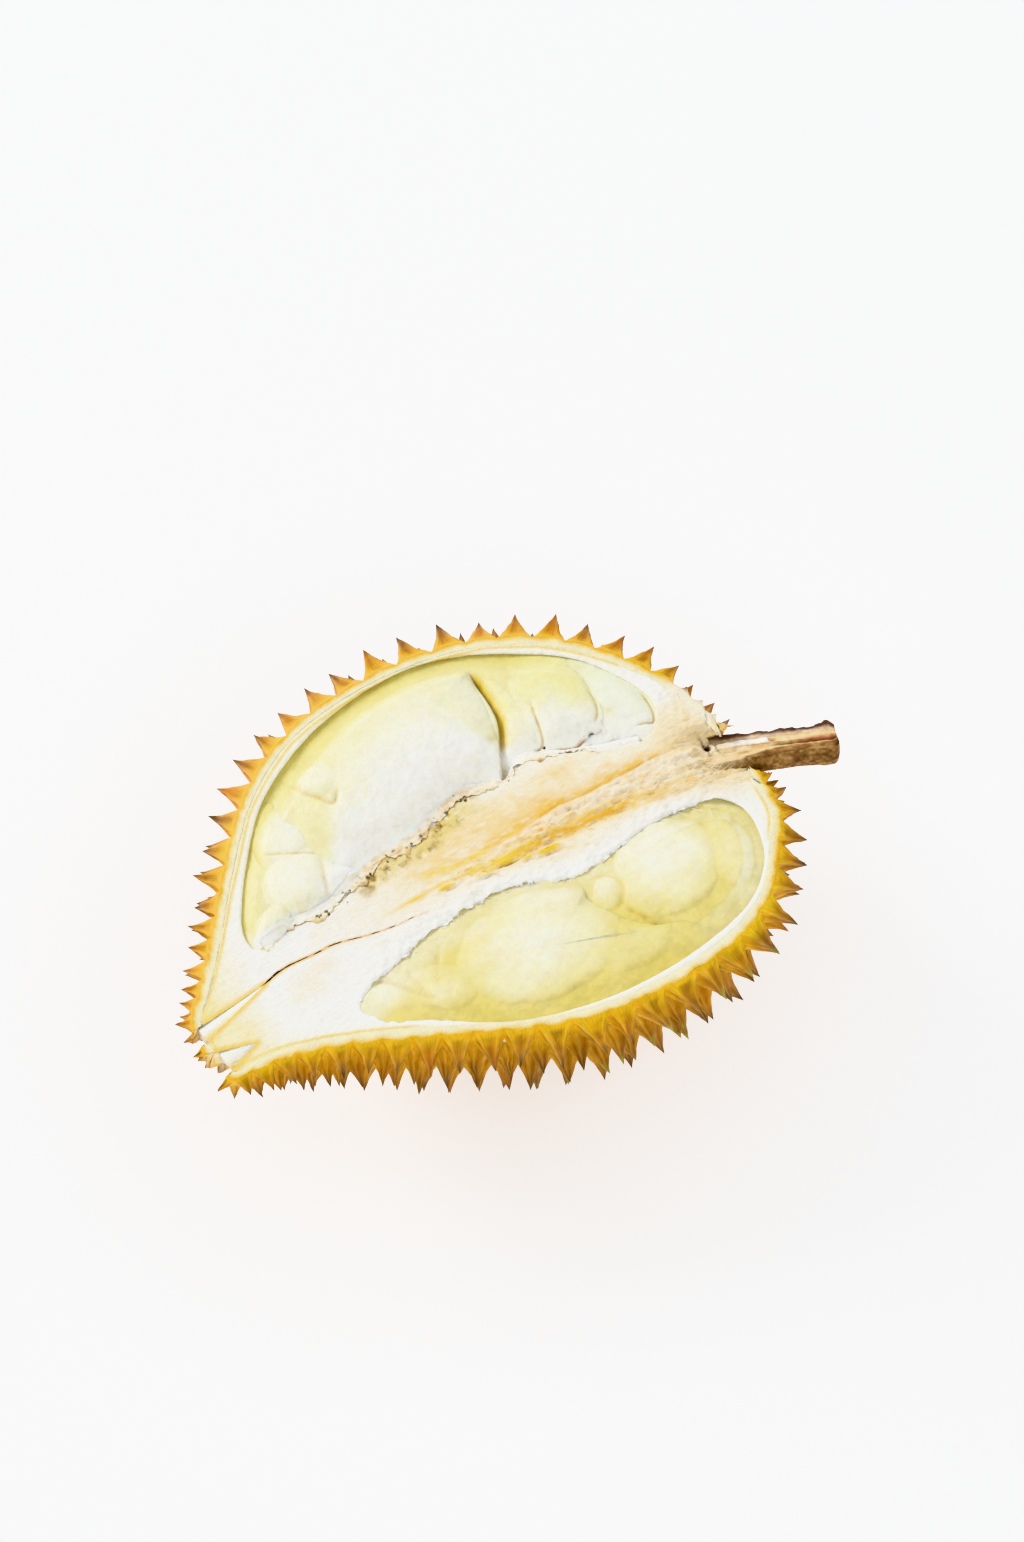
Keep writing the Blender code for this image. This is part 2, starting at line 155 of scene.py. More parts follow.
def trace(points: Array, line: Array, closed: bool = False) -> tuple:
    """Measures points against a line of straight pieces.

    Args:
        points: Points in the cut plane, in mm.
        line: The corners of the line.
        closed: Whether its end joins its start.

    Returns:
        The distance to the line, how far along it the nearest place is in mm, and the side (1 or -1).
    """
    line = np.asarray(line, float)
    ends = np.roll(line, -1, axis=0) if closed else line[1:]
    starts = line if closed else line[:-1]
    run = ends - starts
    length = np.linalg.norm(run, axis=1) + 1e-12
    before = np.concatenate([[0], np.cumsum(length)[:-1]])
    best = np.full(len(points), np.inf)
    place = np.zeros(len(points))
    side = np.ones(len(points))
    for k in range(len(starts)):
        gap = points - starts[k]
        share = np.clip(gap @ run[k] / length[k] ** 2, 0, 1)
        away = np.linalg.norm(gap - share[:, None] * run[k], axis=1)
        nearer = away < best
        best = np.where(nearer, away, best)
        place = np.where(nearer, before[k] + share * length[k], place)
        cross = run[k][0] * gap[:, 1] - run[k][1] * gap[:, 0]
        side = np.where(nearer, np.where(cross >= 0, 1.0, -1.0), side)
    return best, place, side


def within(points: Array, loop: Array) -> Array:
    """Tells which points lie inside a closed loop.

    Args:
        points: Points in the cut plane.
        loop: The loop's corners.

    Returns:
        True for each point inside.
    """
    inside = np.zeros(len(points), bool)
    x, y = points.T
    for (ax, ay), (bx, by) in zip(loop, np.roll(loop, -1, axis=0)):
        if ay == by:
            continue
        crosses = (ay > y) != (by > y)
        inside ^= crosses & (x < (bx - ax) * (y - ay) / (by - ay) + ax)
    return inside


def spline(before: Array, start: Array, end: Array, after: Array, s: Array) -> Array:
    """A smooth curve from start to end that heeds their neighbours, read at s from 0 to 1."""
    bend = (2 * before - 5 * start + 4 * end - after) * s**2
    return 0.5 * (2 * start + (end - before) * s + bend + (3 * start - before - 3 * end + after) * s**3)


def closed_curve(points: tuple, count: int) -> Array:
    """Samples a smooth closed curve through given points.

    Args:
        points: The corners in mm.
        count: How many samples, evenly spaced by index.

    Returns:
        The samples.
    """
    p = np.array(points, float)
    at = np.arange(count) * len(p) / count
    i = at.astype(int)
    return spline(*(p[(i + k) % len(p)] for k in (-1, 0, 1, 2)), (at - i)[:, None])


def grown(outline: Array, by: float | Array) -> Array:
    """Moves every side of a counter-clockwise loop outwards.

    Args:
        outline: The loop's corners.
        by: The distance, one for all or one for each corner.

    Returns:
        The moved corners.
    """
    side = np.roll(outline, -1, axis=0) - outline
    out = np.stack([side[:, 1], -side[:, 0]], axis=1) / np.linalg.norm(side, axis=1)[:, None]
    before = np.roll(out, 1, axis=0)
    share = 1 + (out * before).sum(axis=1)
    return outline + np.reshape(by, (-1, 1)) * (out + before) / np.maximum(share, 0.3)[:, None]


def evenly(line: Array, step: float, closed: bool = False) -> Array:
    """Samples a line of straight pieces at even steps.

    Args:
        line: The line's corners.
        step: Distance between samples in mm.
        closed: Whether its end joins its start.

    Returns:
        The samples.
    """
    line = np.asarray(line, float)
    if closed:
        line = np.concatenate([line, line[:1]])
    length = np.concatenate([[0], np.cumsum(np.linalg.norm(np.diff(line, axis=0), axis=1))])
    count = max(2, round(length[-1] / step))
    at = np.linspace(0, length[-1], count + 1)
    if closed:
        at = at[:-1]
    return np.stack([np.interp(at, length, line[:, k]) for k in range(line.shape[1])], axis=1)


@dataclass
class Shape:
    """A mesh being drawn: points in mm, faces, a colour for each point and, on the rind, its grain."""

    points: Array
    faces: list
    tint: Array
    grain: list | None = None

    def make(self, name: str, finish: Material) -> Object:
        """Turns the drawing into an object in the row frame.

        Args:
            name: The object's name.
            finish: The material.

        Returns:
            The new object.
        """
        mesh = bpy.data.meshes.new(name)
        mesh.from_pydata(((self.points + PLACE) * MM).tolist(), [], self.faces)
        if self.grain:
            layer = mesh.attributes.new("grain", "FLOAT_VECTOR", "CORNER")
            layer.data.foreach_set("vector", np.asarray(self.grain, np.float32).ravel())
        layer = mesh.color_attributes.new("tint", "FLOAT_COLOR", "POINT")
        opaque = np.ones((len(self.tint), 1))
        layer.data.foreach_set("color", np.concatenate([self.tint, opaque], 1).astype(np.float32).ravel())
        mesh.materials.append(finish)
        mesh.shade_smooth()
        obj = bpy.data.objects.new(name, mesh)
        bpy.context.scene.collection.objects.link(obj)
        return obj


def filled(loops: list, keep: Callable, inner: Array) -> tuple[Array, Array]:
    """Fills a flat region with small triangles.

    Args:
        loops: Closed loops that the triangles follow.
        keep: Takes triangle centres and tells which belong to the region.
        inner: Loose points inside it.

    Returns:
        The points and the triangles' corner numbers.
    """
    points, edges, start = [], [], 0
    for loop in loops:
        points.append(loop)
        edges += [(start + k, start + (k + 1) % len(loop)) for k in range(len(loop))]
        start += len(loop)
    points.append(inner)
    flat = [Vector(p) for p in np.concatenate(points)]
    found, _, faces, *_ = delaunay_2d_cdt(flat, edges, [], 0, 1e-4)
    found = np.array([tuple(p) for p in found])
    faces = np.array(faces)
    faces = faces[keep(found[faces].mean(axis=1))]
    used, renumbered = np.unique(faces, return_inverse=True)
    return found[used], renumbered.reshape(faces.shape)


def hex_grid(low: Array, high: Array, step: float, seed: int) -> Array:
    """Scatters points evenly but not regularly over a rectangle.

    Args:
        low: The rectangle's lowest corner.
        high: Its highest corner.
        step: Distance between points in mm.
        seed: Seed of the scatter.

    Returns:
        The points.
    """
    columns = np.arange(low[0], high[0], step)
    rows = np.arange(low[1], high[1], step * HEX_ROW)
    x, y = np.meshgrid(columns, rows)
    x = x + (np.arange(len(rows)) % 2)[:, None] * step / 2
    flat = np.stack([x.ravel(), y.ravel()], axis=1)
    return flat + np.random.default_rng(seed).uniform(-0.2, 0.2, flat.shape) * step


def border_edges(faces: Array) -> Array:
    """Finds the edges that only one of many triangles has, in the direction of that triangle."""
    pairs = np.concatenate([faces[:, [0, 1]], faces[:, [1, 2]], faces[:, [2, 0]]])
    known = {tuple(pair) for pair in pairs.tolist()}
    return np.array([pair for pair in pairs.tolist() if (pair[1], pair[0]) not in known])


# ---- the husk's form


@dataclass
class Husk:
    """The husk's form and the layout of its spines, as the solids have them."""

    blossom_x: float = -139.0
    stem_x: float = 99.0
    end_y: tuple = (0.0, -8.0)
    stations: tuple = (
        (-137, -12.5, 13.5, 11),
        (-127, -14.5, 24, 20),
        (-112, -18, 39, 30),
        (-92, -26.5, 60.5, 46),
        (-70, -38.5, 81, 61),
        (-44, -53.5, 94.5, 74.5),
        (-15, -67.5, 98.5, 83),
        (15, -74, 96, 83.5),
        (45, -74.5, 86.5, 78.5),
        (70, -67, 69, 67),
        (88, -50, 43.5, 49),
        (97, -35, 18, 25),
    )
    sutures: tuple = (math.radians(56), math.radians(124))
    suture_width: float = math.radians(14)
    suture_sink: float = 0.035
    fullness: float = 0.07
    rind: float = 3.0
    spacing: float = 14.2
    spacing_power: float = 0.42
    widest: float = 86.0
    height_share: float = 1.12
    relax_steps: int = 70
    lean: float = 0.13
    merge: float = 0.9
    seed: int = 7

    def curve(self, knots: Array, values: Array, at: Array) -> Array:
        """Reads a cubic curve through values at knots.

        Args:
            knots: Where the values are.
            values: The values.
            at: Where to read the curve.

        Returns:
            The curve's values.
        """
        slope = np.gradient(values, knots)
        i = np.clip(np.searchsorted(knots, at) - 1, 0, len(knots) - 2)
        step = knots[i + 1] - knots[i]
        s = (at - knots[i]) / step
        rise = values[i + 1] - values[i]
        start, end = slope[i] * step, slope[i + 1] * step
        return values[i] + s * start + s**2 * (3 * rise - 2 * start - end) + s**3 * (start + end - 2 * rise)

    def u_of(self, x: Array) -> Array:
        """Turns an x in mm into the husk's own measure, 0 at the blossom end and 1 at the stem."""
        share = np.clip((np.asarray(x, float) - self.blossom_x) / (self.stem_x - self.blossom_x), 0, 1)
        return np.arccos(1 - 2 * share) / math.pi

    def sections(self, u: Array) -> tuple:
        """Reads the husk's section at u.

        Args:
            u: The husk's own measure along its length.

        Returns:
            Middle y, half width and depth in mm.
        """
        first = (self.blossom_x, self.end_y[0], self.end_y[0], 0)
        last = (self.stem_x, self.end_y[1], self.end_y[1], 0)
        rows = np.array([first, *self.stations, last], float)
        knots = self.u_of(rows[:, 0])
        near, far, depth = (self.curve(knots, rows[:, k], u) for k in (1, 2, 3))
        return (near + far) / 2, np.maximum(far - near, 0) / 2, np.maximum(depth, 0)

    def skin(self, u: Array, t: Array, inset: float = 0.0) -> Array:
        """Finds points of the husk.

        Args:
            u: Measure along the husk.
            t: Turn round the section, 0 at the far rim and pi at the near one.
            inset: How deep under the skin, in mm.

        Returns:
            Points in mm.
        """
        middle, half, depth = self.sections(u)
        groove = sum(np.exp(-(((t - suture) / self.suture_width) ** 2)) for suture in self.sutures)
        swell = 1 + self.fullness * np.sin(2 * t) ** 2 - self.suture_sink * groove
        half, depth = half * swell, depth * swell
        half, depth = (size**2 / (size + inset + 1e-9) for size in (half, depth))
        reach = (self.stem_x - self.blossom_x) / 2
        x = (self.stem_x + self.blossom_x) / 2 - (reach - inset) * np.cos(math.pi * u)
        rise = np.round(np.sin(t), 9)
        return np.stack([x, middle + half * np.cos(t), -depth * rise], axis=-1)

    def spacing_at(self, u: Array) -> Array:
        """Distance wanted between spines at u, in mm."""
        _, half, _ = self.sections(u)
        return self.spacing * np.clip(half / self.widest, 0.06, 1) ** self.spacing_power

    def sown(self) -> tuple[Array, Array]:
        """Sows the spines by the golden ratio and pushes them apart evenly.

        Returns:
            u and t of every spine.
        """
        grid = np.linspace(0.002, 0.998, 2000)
        middle = self.skin(grid, np.full_like(grid, math.pi / 2))
        length = np.linalg.norm(np.gradient(middle, axis=0), axis=1)
        _, half, depth = self.sections(grid)
        area = length * math.pi * (half + depth) / 2
        count = np.cumsum(area / (HEX_ROW * self.spacing_at(grid) ** 2))
        order = np.arange(int(count[-1])) + 0.5
        u = np.interp(order, count, grid)
        t = math.pi * np.mod(order * (math.sqrt(5) - 1) / 2, 1)
        small = 1e-4
        for _ in range(self.relax_steps):
            here = self.skin(u, t)
            everyone = np.concatenate([here, here * (1, 1, -1)])
            spacing = self.spacing_at(u)
            gap = here[:, None] - everyone[None]
            distance = np.linalg.norm(gap, axis=2) + 1e-9
            reach = 0.65 * (spacing[:, None] + np.tile(spacing, 2)[None])
            strength = np.clip(1 - distance / reach, 0, None)
            push = (gap / distance[..., None] * strength[..., None]).sum(axis=1) * spacing[:, None] * 0.35
            along = (self.skin(u + small, t) - here) / small
            around = (self.skin(u, t + small) - here) / small
            u = np.clip(u + (push * along).sum(1) / (along**2).sum(1), 0.02, 0.98)
            t = np.clip(t + (push * around).sum(1) / (around**2).sum(1), 0.04, math.pi - 0.04)
        return u, t

    def ball_map(self) -> tuple[Array, Array]:
        """Makes the tables of the map from the husk to a ball that keeps the cells' form.

        Returns:
            Tables of u and of the ball's measure q.
        """
        u = np.linspace(0.002, 0.998, 3000)
        _, half, depth = self.sections(u)
        radius = (half + depth) / 2
        x = -(self.stem_x - self.blossom_x) / 2 * np.cos(math.pi * u)
        q = np.cumsum(np.hypot(np.gradient(x), np.gradient(radius)) / radius)
        return u, q - q[len(q) // 2]

    def hull(self, points: Array) -> tuple[Array, Array]:
        """Finds the triangles of a convex hull.

        Args:
            points: Points on a ball.

        Returns:
            Corner numbers and unit normals of the triangles.
        """
        middle = points[:4].mean(axis=0)

        def facing_out(tri: Array) -> tuple[Array, Array]:
            """Turns triangles outwards and gives their normals."""
            a, b, c = points[tri[:, 0]], points[tri[:, 1]], points[tri[:, 2]]
            normal = np.cross(b - a, c - a)
            inward = ((a - middle) * normal).sum(axis=1) < 0
            tri = np.where(inward[:, None], tri[:, ::-1], tri)
            return tri, np.where(inward[:, None], -normal, normal)

        tri, normal = facing_out(np.array([(0, 1, 2), (0, 1, 3), (0, 2, 3), (1, 2, 3)]))
        for number in range(4, len(points)):
            seen = ((points[number] - points[tri[:, 0]]) * normal).sum(axis=1) > 1e-13
            if not seen.any():
                continue
            edges = {(int(t[k]), int(t[(k + 1) % 3])) for t in tri[seen] for k in range(3)}
            border = sorted(edge for edge in edges if (edge[1], edge[0]) not in edges)
            new_tri, new_normal = facing_out(np.array([(a, b, number) for a, b in border]))
            tri = np.concatenate([tri[~seen], new_tri])
            normal = np.concatenate([normal[~seen], new_normal])
        return tri, normal / np.linalg.norm(normal, axis=1)[:, None]

    def cells(self) -> BMesh:
        """Divides the husk into the feet of its spines.

        Returns:
            A mesh in metres with one polygon for each spine.
        """
        u, t = self.sown()
        u_table, q_table = self.ball_map()
        q = np.interp(u, u_table, q_table)
        ball = np.stack([np.tanh(q), np.cos(t) / np.cosh(q), -np.sin(t) / np.cosh(q)], axis=1)
        spread = np.random.default_rng(self.seed).permutation(2 * len(ball))
        points = np.concatenate([ball, ball * (1, 1, -1)])
        order = np.argsort(spread)
        tri, normal = self.hull(points[order])
        tri = order[tri]
        turn = np.arctan2(-normal[:, 2], normal[:, 1])
        turn = np.where(np.abs(normal[:, 2]) < 1e-7, np.where(normal[:, 1] > 0, 0.0, math.pi), turn)
        side = np.hypot(normal[:, 1], normal[:, 2]) + 1e-12
        corner = self.skin(np.interp(np.arcsinh(normal[:, 0] / side), q_table, u_table), turn)
        cells = bmesh.new()
        verts = {k: cells.verts.new(Vector(corner[k]) * MM) for k in range(len(tri)) if turn[k] >= 0}
        fans = [[] for _ in points]
        for number, three in enumerate(tri):
            if number in verts:
                for seed in three:
                    fans[seed].append(number)
        for seed, fan in enumerate(fans[: len(ball)]):
            axis = Vector(ball[seed])
            across = axis.orthogonal().normalized()
            other = axis.cross(across)
            fan.sort(key=lambda k: math.atan2(Vector(normal[k]).dot(other), Vector(normal[k]).dot(across)))
            if len(fan) > 2:
                cells.faces.new([verts[k] for k in fan])
        bmesh.ops.remove_doubles(cells, verts=cells.verts, dist=self.merge * MM)
        bmesh.ops.recalc_face_normals(cells, faces=cells.faces)
        for face in cells.faces:
            if face.normal.dot(face.calc_center_median()) < 0:
                face.normal_flip()
        return cells

    def rim(self, inset: float, step: float = 0.9) -> Array:
        """Draws the husk's outline on the cut plane.

        Args:
            inset: How deep under the skin, in mm.
            step: Distance between samples in mm.

        Returns:
            The outline, counter-clockwise from the blossom end.
        """
        u = np.linspace(0, 1, 900)
        near = self.skin(u, np.full_like(u, math.pi), inset)[:, :2]
        far = self.skin(u, np.zeros_like(u), inset)[:, :2]
        return evenly(np.concatenate([near, far[::-1][1:-1]]), step, closed=True)

    def floor_under(self, xy: Array, inset: float) -> Array:
        """Height of the husk's inside under points of the cut face.

        Args:
            xy: Points in mm.
            inset: How deep under the skin, in mm.

        Returns:
            Heights in mm, 0 or less.
        """
        middle, half, depth = self.sections(self.u_of(xy[:, 0]))
        share = np.clip((xy[:, 1] - middle) / np.maximum(half - inset, 0.5), -1, 1)
        return -np.maximum(depth - inset, 0) * np.sqrt(1 - share**2)


@dataclass(frozen=True)
class Break:
    """One of the splits at the blossom end: an upright wedge that opens outwards."""

    tip: tuple[float, float]
    low: float
    high: float
    mouth_x: float = -139.0
    out: float = 30.0

    def edge(self, y: float) -> Array:
        """A point well out past the mouth, on the side of the wedge that crosses the mouth at y."""
        run = np.array([self.mouth_x, y]) - self.tip
        return self.tip + run * (1 + self.out / -run[0])

    def loop(self) -> Array:
        """The wedge's three corners."""
        return np.array([self.tip, self.edge(self.high), self.edge(self.low)])


BREAKS = (Break((-106.0, 12.0), 4.5, 11.5), Break((-121.0, -6.0), -11.0, 1.0))


# ---- finishes


def add_node(tree: NodeTree, kind: str, links: dict | None = None, **settings) -> Node:
    """Adds a node with its settings and links.

    Args:
        tree: The material's node tree.
        kind: The node's type name.
        links: Input name or number to a value or to another node's output.
        settings: Attributes of the node itself.

    Returns:
        The new node.
    """
    node = tree.nodes.new(kind)
    for key, value in settings.items():
        setattr(node, key, value)
    for key, value in (links or {}).items():
        if isinstance(value, NodeSocket):
            tree.links.new(value, node.inputs[key])
        else:
            node.inputs[key].default_value = value
    return node


class Coordinate(Enum):
    """Where a pattern takes its place from."""

    OBJECT = "object"
    GRAIN = "grain"


@dataclass(frozen=True)
class Finish:
    """A natural surface: painted tint, mottled and given a fine relief by patterns sized in mm."""

    name: str
    roughness: float
    ior: float = 1.45
    specular: float = 0.5
    subsurface: float = 0.0
    subsurface_mm: float = 2.0
    coat: float = 0.0
    mottle_mm: float = 4.0
    mottle_dark: float = 0.9
    mottle_light: float = 1.08
    relief_mm: float = 1.0
    relief_depth_mm: float = 0.1
    relief_dark: float = 0.96
    relief_light: float = 1.03
    fine_mm: float = 0.35
    fine_depth_mm: float = 0.03
    stretch: tuple[float, float, float] = (1.0, 1.0, 1.0)
    coordinate: Coordinate = Coordinate.OBJECT

    def make(self) -> Material:
        """Builds the material.

        Returns:
            The new material.
        """
        material = bpy.data.materials.new(self.name)
        material.use_nodes = True
        tree = material.node_tree
        shader = tree.nodes["Principled BSDF"]
        plain = {"IOR": self.ior, "Specular IOR Level": self.specular, "Coat Weight": self.coat,
                 "Coat Roughness": 0.25}
        if self.subsurface:
            plain |= {"Subsurface Weight": self.subsurface, "Subsurface Radius": (1.0, 0.72, 0.35),
                      "Subsurface Scale": self.subsurface_mm * MM}
        for key, value in plain.items():
            shader.inputs[key].default_value = value
        tint = add_node(tree, "ShaderNodeVertexColor", layer_name="tint")
        if self.coordinate is Coordinate.GRAIN:
            at = add_node(tree, "ShaderNodeAttribute", attribute_name="grain").outputs["Vector"]
            unit = 1.0
        else:
            at = add_node(tree, "ShaderNodeTexCoord").outputs["Object"]
            unit = 1 / MM
        place = add_node(tree, "ShaderNodeMapping", {0: at, "Scale": [unit * s for s in self.stretch]})
        even = add_node(tree, "ShaderNodeTexCoord").outputs["Object"]

        def noise(vector: NodeSocket, scale: float, detail: float) -> NodeSocket:
            """Adds a noise pattern and gives its values."""
            links = {"Vector": vector, "Scale": scale, "Detail": detail}
            return add_node(tree, "ShaderNodeTexNoise", links).outputs["Fac"]

        def spread(values: NodeSocket, low: float, high: float) -> NodeSocket:
            """Stretches a pattern's middle range from low to high."""
            links = {0: values, 1: 0.3, 2: 0.7, 3: low, 4: high}
            return add_node(tree, "ShaderNodeMapRange", links).outputs[0]

        mottle = spread(noise(even, 1 / (self.mottle_mm * MM), 5.0), self.mottle_dark, self.mottle_light)
        relief = noise(place.outputs[0], 1 / self.relief_mm, 4.0)
        streak = spread(relief, self.relief_dark, self.relief_light)
        shade = add_node(tree, "ShaderNodeMath", {0: mottle, 1: streak}, operation="MULTIPLY")
        links = {0: tint.outputs["Color"], "Scale": shade.outputs[0]}
        colour = add_node(tree, "ShaderNodeVectorMath", links, operation="SCALE")
        fine = noise(even, 1 / (self.fine_mm * MM), 2.0)
        bump = None
        for height, depth in ((relief, self.relief_depth_mm), (fine, self.fine_depth_mm)):
            links = {"Strength": 1.0, "Distance": depth * MM, "Height": height}
            links |= {"Normal": bump.outputs[0]} if bump else {}
            bump = add_node(tree, "ShaderNodeBump", links)
        wear = spread(relief, self.roughness - 0.08, self.roughness + 0.1)
        tree.links.new(colour.outputs[0], shader.inputs["Base Color"])
        tree.links.new(wear, shader.inputs["Roughness"])
        tree.links.new(bump.outputs[0], shader.inputs["Normal"])
        return material


# Durian skin is a hard fibrous rind: half matt, with fibres that run up each spine.
SPINY_SKIN = Finish(
    "durian_skin", roughness=0.5, specular=0.4, mottle_mm=4.0, mottle_dark=0.84, mottle_light=1.12,
    relief_mm=0.7, relief_depth_mm=0.4, relief_dark=0.78, relief_light=1.14, fine_mm=0.45,
    fine_depth_mm=0.07, coordinate=Coordinate.GRAIN,
)
# The pith is spongy plant fibre: matt, soft at the edges of its shadows, with short fibres in it.
PALE_PITH = Finish(
    "durian_pith", roughness=0.78, specular=0.25, subsurface=0.2, subsurface_mm=1.2, mottle_mm=2.5,
    mottle_dark=0.93, mottle_light=1.04, relief_mm=1.0, relief_depth_mm=0.45, relief_dark=0.94,
    relief_light=1.03, fine_mm=0.4, fine_depth_mm=0.14, stretch=(0.35, 1.0, 1.0),
)
# Ripe flesh is a creamy custard under a thin moist skin: smooth, waxy and faintly translucent.
RIPE_FLESH = Finish(
    "durian_flesh", roughness=0.36, specular=0.45, subsurface=0.4, subsurface_mm=2.5, coat=0.12,
    mottle_mm=6.0, mottle_dark=0.93, mottle_light=1.04, relief_mm=3.0, relief_depth_mm=0.45,
    fine_mm=0.8, fine_depth_mm=0.03,
)
# The stalk is woody: rough bark outside, split fibres inside.
STALK = Finish(
    "durian_stalk", roughness=0.72, specular=0.3, mottle_mm=2.5, mottle_dark=0.72, mottle_light=1.2,
    relief_mm=0.7, relief_depth_mm=0.35, fine_mm=0.3, fine_depth_mm=0.08, stretch=(0.25, 0.4, 1.0),
)


# ---- the rind


@dataclass
class Rind:
    """The spiny skin: every spine drawn up from its foot, and the cut edge round the rim."""

    husk: Husk
    rings: tuple = (1.0, 0.91, 0.8, 0.68, 0.55, 0.42, 0.3, 0.19, 0.09, 0.03)
    side_parts: int = 4
    profile: float = 1.16
    flute: float = 0.26
    foot_radius: float = 6.5
    grain_shift: tuple = (23.7, 11.3)
    face_middle: tuple = (0.0, 20.0, 0.0)
    side_bulge: float = 0.02
    rim_bulge: float = 0.085
    rim_rings: tuple = (0.35, 0.9, 1.6, 2.3, 3.0, 3.15)
    rim_wall: float = -7.0
    stub_zone: tuple = (86, 0, 24, -9)
    stub_share: float = 0.45
    break_wall: tuple = (2.5, 0.6, 0.8)
    stem_gap: tuple = (13.5, 10.8)

    def feet(self) -> tuple[list, Array, list]:
        """Reads the spines' feet from the husk.

        Returns:
            Corner numbers of each foot, the corners in mm, and (tip, normal, height, lean) of each spine.
        """
        cells = self.husk.cells()
        chance = np.random.default_rng(self.husk.seed)
        cells.verts.index_update()
        corners = np.array([tuple(v.co) for v in cells.verts]) / MM
        corners[np.abs(corners[:, 2]) < 1e-6, 2] = 0
        polygons, spines = [], []
        for face in sorted(cells.faces, key=lambda f: tuple(f.calc_center_median())):
            normal = np.array(face.normal)
            width = math.sqrt(face.calc_area() / MM**2 / HEX_ROW)
            height = self.husk.height_share * width * chance.uniform(0.88, 1.08)
            lean = np.cross(chance.uniform(-1, 1, 3), normal) * self.husk.lean * height
            centre = np.array(face.calc_center_median()) / MM
            low_x, low_y, high_y, low_z = self.stub_zone
            if centre[0] > low_x and low_y < centre[1] < high_y and centre[2] > low_z:
                height *= self.stub_share
            polygons.append([v.index for v in face.verts])
            spines.append((centre, normal, height, lean))
        cells.free()
        return polygons, corners, spines

    def draw(self) -> Shape:
        """Draws the spines and the cut edge.

        Returns:
            The finished drawing.
        """
        polygons, corners, spines = self.feet()
        pool = [tuple(p) for p in corners]
        between = {}

        def edge_points(a: int, b: int) -> list[int]:
            """Numbers of the points between two corners, made once for both feet that share them."""
            key = (min(a, b), max(a, b))
            if key not in between:
                start, end = corners[key[0]], corners[key[1]]
                on_rim = start[2] == 0 and end[2] == 0
                run = end - start
                out = (start + end) / 2 - self.face_middle
                out = out - run * (out @ run) / (run @ run)
                out /= np.linalg.norm(out)
                parts, bulge = self.side_parts, self.side_bulge
                if on_rim:
                    parts, bulge = parts + 2, self.rim_bulge
                between[key] = list(range(len(pool), len(pool) + parts - 1))
                for s in (k / parts for k in range(1, parts)):
                    pool.append(tuple(start + run * s + out * 4 * s * (1 - s) * (run @ run) ** 0.5 * bulge))
            numbers = between[key]
            return numbers if a < b else numbers[::-1]

        faces, corner_grain = [], []
        # What is known of each point: share of the foot's width, of the height, tone, depth in a flute.
        marks = []
        chance = np.random.default_rng(11)
        for number, (polygon, (centre, normal, height, lean)) in enumerate(zip(polygons, spines)):
            ring, ridge = [], []
            for a, b in zip(polygon, polygon[1:] + polygon[:1]):
                inner = edge_points(a, b)
                ring += [a, *inner]
                ridge += [0.0] + [math.sin(math.pi * (k + 1) / (len(inner) + 1)) for k in range(len(inner))]
            marks += [(1.0, 0.0, 0.0, 0.5)] * (len(pool) - len(marks))
            size = len(ring)
            ridge = np.array(ridge)
            foot = np.array([pool[k] for k in ring]) - centre
            side = foot[0] / np.linalg.norm(foot[0])
            angle = np.arctan2(foot @ np.cross(normal, side), foot @ side)
            around = self.foot_radius * np.column_stack([np.cos(angle), np.sin(angle)])
            around = (around + number * np.array(self.grain_shift)).tolist()
            own_tone = chance.uniform(-1, 1)
            soft = foot.copy()
            before_ring, before_share = ring, 1.0
            for share in self.rings[1:]:
                soft = 0.5 * soft + 0.25 * (np.roll(soft, 1, axis=0) + np.roll(soft, -1, axis=0))
                form = share * (foot + (soft - foot) * (1 - share) * 0.8)
                pinch = 1 - self.flute * ridge * 4 * share * (1 - share)
                rise = (1 - share) ** self.profile
                level = centre + form * pinch[:, None]
                new_ring = list(range(len(pool), len(pool) + size))
                pool += [tuple(p) for p in level + normal * height * rise + lean * (1 - share) ** 1.8]
                marks += [(share, rise, own_tone, flute) for flute in ridge]
                for k in range(size):
                    m = (k + 1) % size
                    faces.append((before_ring[k], before_ring[m], new_ring[m], new_ring[k]))
                    for place, at in ((k, before_share), (m, before_share), (m, share), (k, share)):
                        corner_grain.append((*around[place], 0.9 * (1 - at)))
                before_ring, before_share = new_ring, share
            pool.append(tuple(centre + normal * height + lean))
            marks.append((0.0, 1.0, own_tone, 0.5))
            for k in range(size):
                m = (k + 1) % size
                faces.append((before_ring[k], before_ring[m], len(pool) - 1))
                corner_grain += [(*around[place], 0.9) for place in (k, m, k)]
        points, tint = self.paint(np.array(pool), *np.array(marks).T)
        points[:, 2] = np.maximum(points[:, 2], -PLACE[2])
        shape = Shape(points, faces, tint, corner_grain)
        self.add_cut_edge(shape)
        return shape

